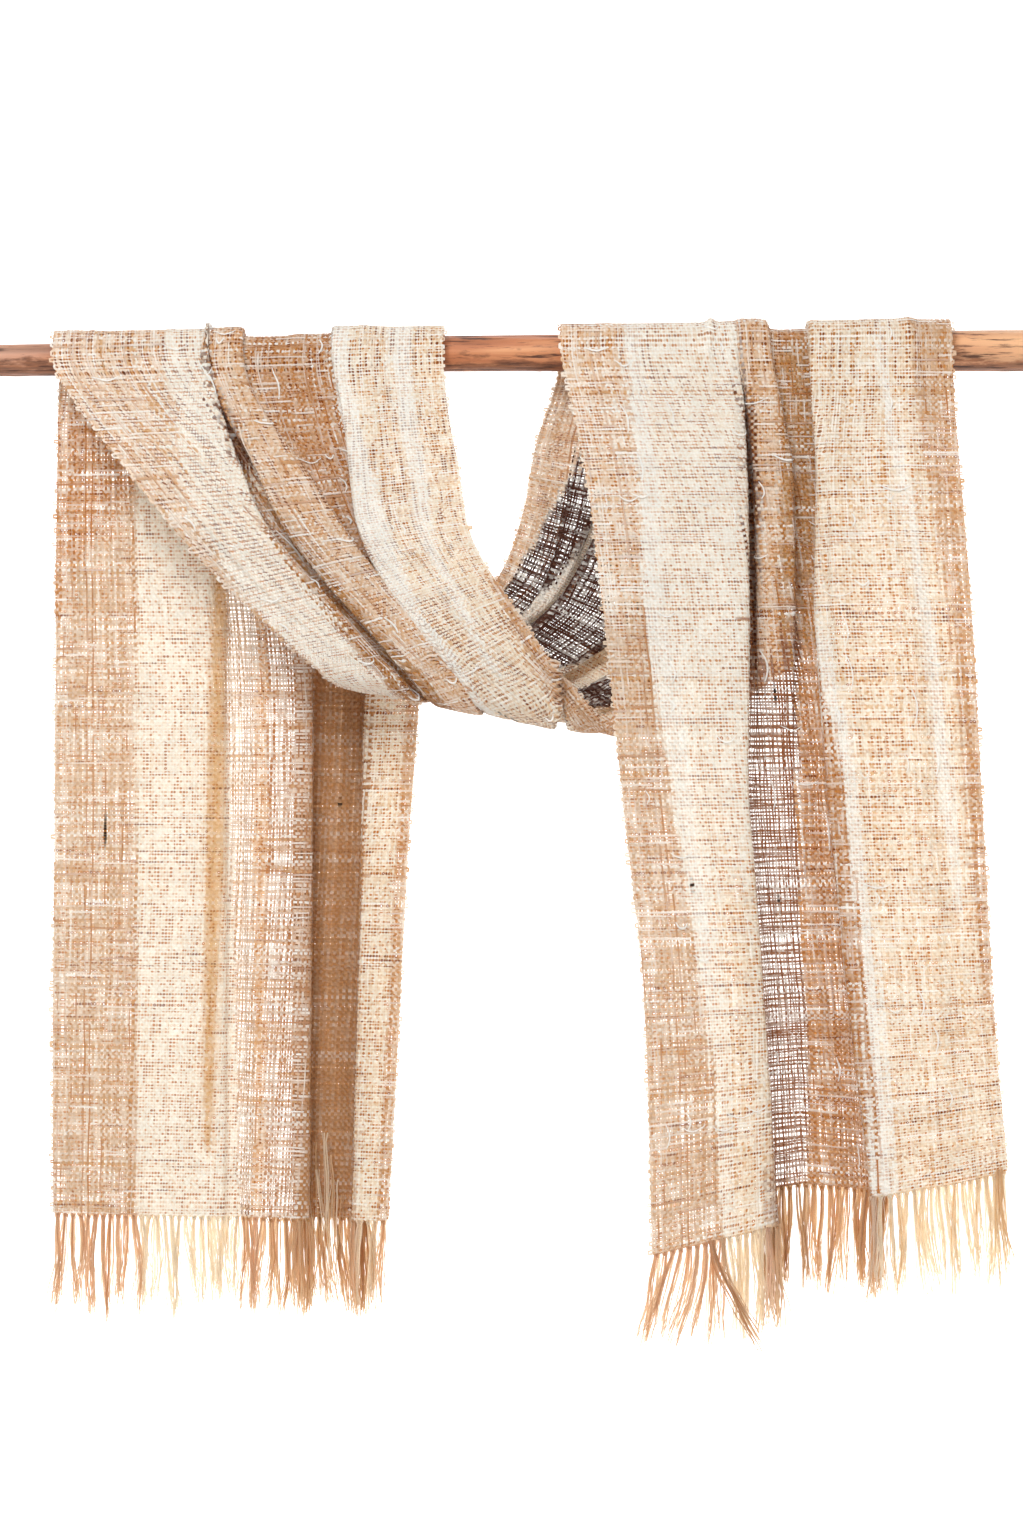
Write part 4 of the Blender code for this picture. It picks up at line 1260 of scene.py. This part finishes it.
class Nodes:
    """A new material, with short ways to add its nodes. All of them but add give a node's output."""

    def __init__(self, name):
        self.material = bpy.data.materials.new(name)
        self.material.use_nodes = True
        self.tree = self.material.node_tree
        self.tree.nodes.clear()

    def add(self, kind, values=None, **inputs):
        """A node with its values and inputs. An input called i2 is its third."""
        node = self.tree.nodes.new(kind)
        for key, value in (values or {}).items():
            setattr(node, key, value)
        for key, value in inputs.items():
            socket = node.inputs[int(key[1:]) if key[0] == "i" else key]
            if isinstance(value, bpy.types.NodeSocket):
                self.tree.links.new(value, socket)
            else:
                socket.default_value = value
        return node

    def maths(self, operation, first, second=0.0):
        return self.add("ShaderNodeMath", {"operation": operation}, i0=first, i1=second).outputs[0]

    def times(self, first, second):
        return self.maths("MULTIPLY", first, second)

    def ranged(self, value, low, high, to_low=0.0, to_high=1.0):
        return self.add("ShaderNodeMapRange", i0=value, i1=low, i2=high, i3=to_low, i4=to_high).outputs[0]

    def noise(self, place, scale, detail, dimensions="3D", **more):
        inputs = {"Vector": place, "Scale": scale, "Detail": detail, **more}
        return self.add("ShaderNodeTexNoise", {"noise_dimensions": dimensions}, **inputs).outputs["Fac"]

    def mix(self, share, under, over):
        return self.add("ShaderNodeMix", {"data_type": "RGBA"}, i0=share, i6=under, i7=over).outputs[2]

    def ramp(self, share, first, last, between):
        """A colour that runs through three stops, each a place and an sRGB colour."""
        node = self.add("ShaderNodeValToRGB", Fac=share)
        stops = node.color_ramp.elements
        for stop, (place, colour) in zip(stops, (first, last)):
            stop.position = place
            stop.color = rgba(colour)
        stops.new(between[0]).color = rgba(between[1])
        return node.outputs[0]

    def finished(self, surface):
        """The material, with its surface."""
        self.add("ShaderNodeOutputMaterial", Surface=surface.outputs[0])
        return self.material


def shaded_pinholes(nodes, colour):
    """The colour with small dots of painted shade between the threads, where the pinholes are.

    They lie in rows along the wefts of the hanging ends, and along the warps where
    the cloth is gathered. A point's cell holds the numbers of its warp and its
    weft, and how strongly the painted shade of its pinhole shows there.
    """
    cell = nodes.add("ShaderNodeAttribute", {"attribute_name": "cell"}).outputs["Vector"]
    warp_place, weft_place, shown = nodes.add("ShaderNodeSeparateXYZ", Vector=cell).outputs
    warp = nodes.maths("FLOOR", warp_place)
    weft = nodes.maths("FLOOR", weft_place)

    def at(x, y):
        return nodes.add("ShaderNodeCombineXYZ", X=x, Y=y).outputs[0]

    def squared_off(place, half):
        off = nodes.maths("DIVIDE", nodes.maths("SUBTRACT", nodes.maths("FRACT", place), 0.5), half)
        return nodes.times(off, off)

    away = nodes.maths("ADD", squared_off(warp_place, HOLE_ACROSS), squared_off(weft_place, HOLE_DOWN))
    two = {"noise_dimensions": "2D"}
    chance = nodes.add("ShaderNodeTexWhiteNoise", two, Vector=at(warp, weft)).outputs["Value"]
    row_run = nodes.noise(at(nodes.times(warp, 0.055), nodes.times(weft, 7.31)), 1.0, 0.0, "2D")
    column_run = nodes.noise(at(nodes.times(warp, 7.31), nodes.times(weft, 0.085)), 1.0, 1.0, "2D")
    row_level = nodes.add("ShaderNodeTexWhiteNoise", {"noise_dimensions": "1D"}, W=weft).outputs["Value"]
    from_left, to_left, from_right, to_right = GATHERED_WEFTS
    gathered = nodes.times(
        nodes.ranged(weft_place, from_left, to_left), nodes.ranged(weft_place, to_right, from_right),
    )
    rows = nodes.times(nodes.ranged(row_run, 0.49, 0.63), nodes.ranged(row_level, 0.50, 0.96, 0.18, 1.0))
    rows = nodes.times(rows, nodes.ranged(gathered, 0.0, 1.0, 1.0, 0.35))
    rows = nodes.times(rows, nodes.ranged(chance, 0.1, 0.7, 0.3, 1.0))
    columns = nodes.times(nodes.ranged(column_run, 0.50, 0.64), nodes.ranged(chance, 0.15, 0.5, 0.3, 1.0))
    columns = nodes.times(columns, nodes.ranged(gathered, 0.0, 1.0, 0.4, 1.0))
    faint = nodes.times(nodes.maths("POWER", chance, 2.6), 0.36)
    level = nodes.maths("MINIMUM", nodes.maths("ADD", nodes.maths("MAXIMUM", rows, columns), faint), 1.0)
    strength = nodes.times(nodes.ranged(level, 0.0, 0.4, 0.1, 1.0), shown)
    strength = nodes.times(strength, nodes.ranged(away, 1.25, 0.45))
    hole_shade_colour = nodes.ramp(level, (0.0, PALE_HOLE_SHADE), (1.0, DARK_HOLE_SHADE), (0.45, MIDDLE_HOLE_SHADE))
    return nodes.mix(strength, colour, hole_shade_colour)


def silk_material(name, thin_share, woven):
    """Raw silk yarn: the colour of its yarns, with the painted shade and highlights laid into it, fine
    fibres, a sheen, and some light let through.
    """
    nodes = Nodes(name)
    yarn = nodes.add("ShaderNodeVertexColor", {"layer_name": "yarn"}).outputs["Color"]
    place = nodes.add("ShaderNodeTexCoord").outputs["Object"]
    fibres = nodes.noise(place, 1400.0, 3.0)
    blotches = nodes.noise(place, 60.0, 4.0)
    tone = nodes.ranged(fibres, 0.3, 0.7, 0.88, 1.06)
    tone = nodes.times(tone, nodes.ranged(blotches, 0.3, 0.7, 0.95, 1.03))
    colour = nodes.add("ShaderNodeVectorMath", {"operation": "SCALE"}, i0=yarn, Scale=tone).outputs[0]
    if woven:
        # Painted shade in the pinholes between the threads
        colour = shaded_pinholes(nodes, colour)
    bump = nodes.add("ShaderNodeBump", Height=fibres, Strength=0.25, Distance=0.0003).outputs[0]
    silk = nodes.add("ShaderNodeBsdfPrincipled", Roughness=0.62, Normal=bump, **{
        "Base Color": colour, "Sheen Weight": 0.10, "Sheen Roughness": 0.5, "Specular IOR Level": 0.15,
    })
    through = nodes.add("ShaderNodeBsdfTranslucent", Color=colour)
    return nodes.finished(
        nodes.add("ShaderNodeMixShader", Fac=thin_share, i1=silk.outputs[0], i2=through.outputs[0])
    )


def wood_material():
    """Peeled, weathered wood: warm brown with long grain, cracks and bark, paler to the right, with bark
    colour that spreads towards the underside as painted shade.
    """
    nodes = Nodes("peeled_wood")
    place = nodes.add("ShaderNodeTexCoord").outputs["Object"]
    x, _, z = nodes.add("ShaderNodeSeparateXYZ", Vector=place).outputs

    def streaks(along, around, scale, detail, **more):
        stretched = nodes.add("ShaderNodeMapping", Vector=place, Scale=(along, around, around)).outputs[0]
        return nodes.noise(stretched, scale, detail, **more)

    grain = streaks(7.0, 95.0, 3.0, 8.0, Roughness=0.62)
    bands = streaks(2.2, 40.0, 1.6, 4.0, Distortion=0.6)
    patches = streaks(22.0, 80.0, 1.5, 6.0, Roughness=0.65)
    fine = streaks(26.0, 330.0, 1.4, 5.0, Roughness=0.7)
    # Bark patches, more of them to the left, and more towards the underside, where the darker bark is also
    # painted shade
    underside_shade_and_left_bark = nodes.maths(
        "ADD", nodes.ranged(z, 0.006, -0.011, 0.0, 0.48), nodes.ranged(x, -0.25, -0.42, 0.0, 0.10),
    )
    bark_and_underside_shade = nodes.maths("ADD", underside_shade_and_left_bark, nodes.ranged(patches, 0.3, 0.7, 0.0, 0.62))
    bark_and_shade_colour = nodes.mix(nodes.ranged(fine, 0.38, 0.62), rgba(DARK_BARK_AND_SHADE), rgba(PALE_BARK_AND_SHADE))
    colour = nodes.ramp(bands, (0.32, WOOD_DARK), (0.70, WOOD_PALE), (0.5, WOOD_MIDDLE))
    for share, over in (
        (nodes.ranged(x, 0.26, 0.40, 0.0, 0.5), rgba(WOOD_RIGHT)),
        (nodes.ranged(x, -0.30, -0.42, 0.0, 0.45), rgba(WOOD_LEFT)),
        (nodes.ranged(bark_and_underside_shade, 0.56, 0.76, 0.0, 0.85), bark_and_shade_colour),
        (nodes.ranged(fine, 0.41, 0.34, 0.0, 0.75), rgba(FINE_CRACK)),
        (nodes.ranged(grain, 0.455, 0.375, 0.0, 0.9), rgba(DEEP_CRACK)),
    ):
        colour = nodes.mix(share, colour, over)
    bump = nodes.add("ShaderNodeBump", Height=grain, Strength=0.8, Distance=0.0012).outputs[0]
    rough = nodes.ranged(grain, 0.3, 0.7, 0.68, 0.42)
    return nodes.finished(
        nodes.add("ShaderNodeBsdfPrincipled", Roughness=rough, Normal=bump, **{"Base Color": colour})
    )


def plain_material(name, glow):
    """A pale matte material for the floor and the wall."""
    nodes = Nodes(name)
    return nodes.finished(nodes.add("ShaderNodeBsdfPrincipled", Roughness=0.9, **{
        "Base Color": (0.93, 0.93, 0.93, 1), "Emission Color": (1, 1, 1, 1), "Emission Strength": glow,
    }))


def studio():
    """A pale sweep of floor and wall, and soft lights."""
    profile = [(FLOOR_FRONT, FLOOR_Z), (FLOOR_BACK, FLOOR_Z)]
    for step in range(SWEEP_STEPS + 1):
        angle = math.pi / 2 * step / SWEEP_STEPS
        profile.append((WALL_Y - SWEEP * (1 - math.sin(angle)), FLOOR_Z + SWEEP * (1 - math.cos(angle))))
    profile.append((WALL_Y, WALL_TOP))
    vertices = [(side * FLOOR_HALF, y, z) for side in (-1, 1) for y, z in profile]
    count = len(profile)
    faces = [(step, step + 1, count + step + 1, count + step) for step in range(count - 1)]
    mesh = bpy.data.meshes.new("sweep")
    mesh.from_pydata(vertices, [], faces)
    mesh.shade_smooth()
    mesh.materials.append(plain_material("pale_floor", 0.0))
    mesh.materials.append(plain_material("bright_wall", WALL_GLOW))
    for face in mesh.polygons[1:]:
        face.material_index = 1
    sweep = bpy.data.objects.new("sweep", mesh)
    bpy.context.scene.collection.objects.link(sweep)

    world = bpy.data.worlds.new("studio")
    bpy.context.scene.world = world
    world.use_nodes = True
    background = world.node_tree.nodes["Background"]
    background.inputs["Color"].default_value = (*WORLD_COLOUR, 1)
    background.inputs["Strength"].default_value = WORLD_STRENGTH
    for name, place, size, power, colour in LIGHTS:
        light = bpy.data.objects.new(name, bpy.data.lights.new(name, "AREA"))
        light.data.size = size
        light.data.energy = power
        light.data.color = colour
        light.location = place
        light.rotation_euler = (Vector(LIT_POINT) - Vector(place)).to_track_quat("-Z", "Y").to_euler()
        bpy.context.scene.collection.objects.link(light)


def camera():
    """A long lens straight in front, which frames the scarf as the photograph does."""
    seen = PHOTO_HEIGHT * MM_PER_PIXEL * METRES_PER_MM
    middle = (ROD_PIXEL - PHOTO_HEIGHT / 2) * MM_PER_PIXEL * METRES_PER_MM
    view = bpy.data.objects.new("camera", bpy.data.cameras.new("camera"))
    view.data.lens = LENS
    view.data.sensor_width = SENSOR
    view.location = (0, -seen * LENS / SENSOR, middle)
    view.rotation_euler = (math.radians(90), 0, 0)
    bpy.context.scene.collection.objects.link(view)
    bpy.context.scene.camera = view


def main():
    camera()
    studio()
    bpy.context.scene.view_settings.view_transform = "Standard"
    cloth_map = ClothMap()
    cloth = weave(cloth_map)
    silk = silk_material("raw_silk", 0.3, woven=True)
    yarns = silk_material("loose_yarn", 0.6, woven=False)
    stretch_piece("tail_left", cloth, "hem_left", "over_left", silk)
    stretch_piece("swag_front", cloth, "over_left", "bottom", silk)
    stretch_piece("swag_back", cloth, "bottom", "over_right", silk)
    stretch_piece("tail_right", cloth, "over_right", "hem_right", silk)
    for row in FRINGES:
        fringe_piece(*row, cloth_map, yarns)
    rod_piece(wood_material())


main()
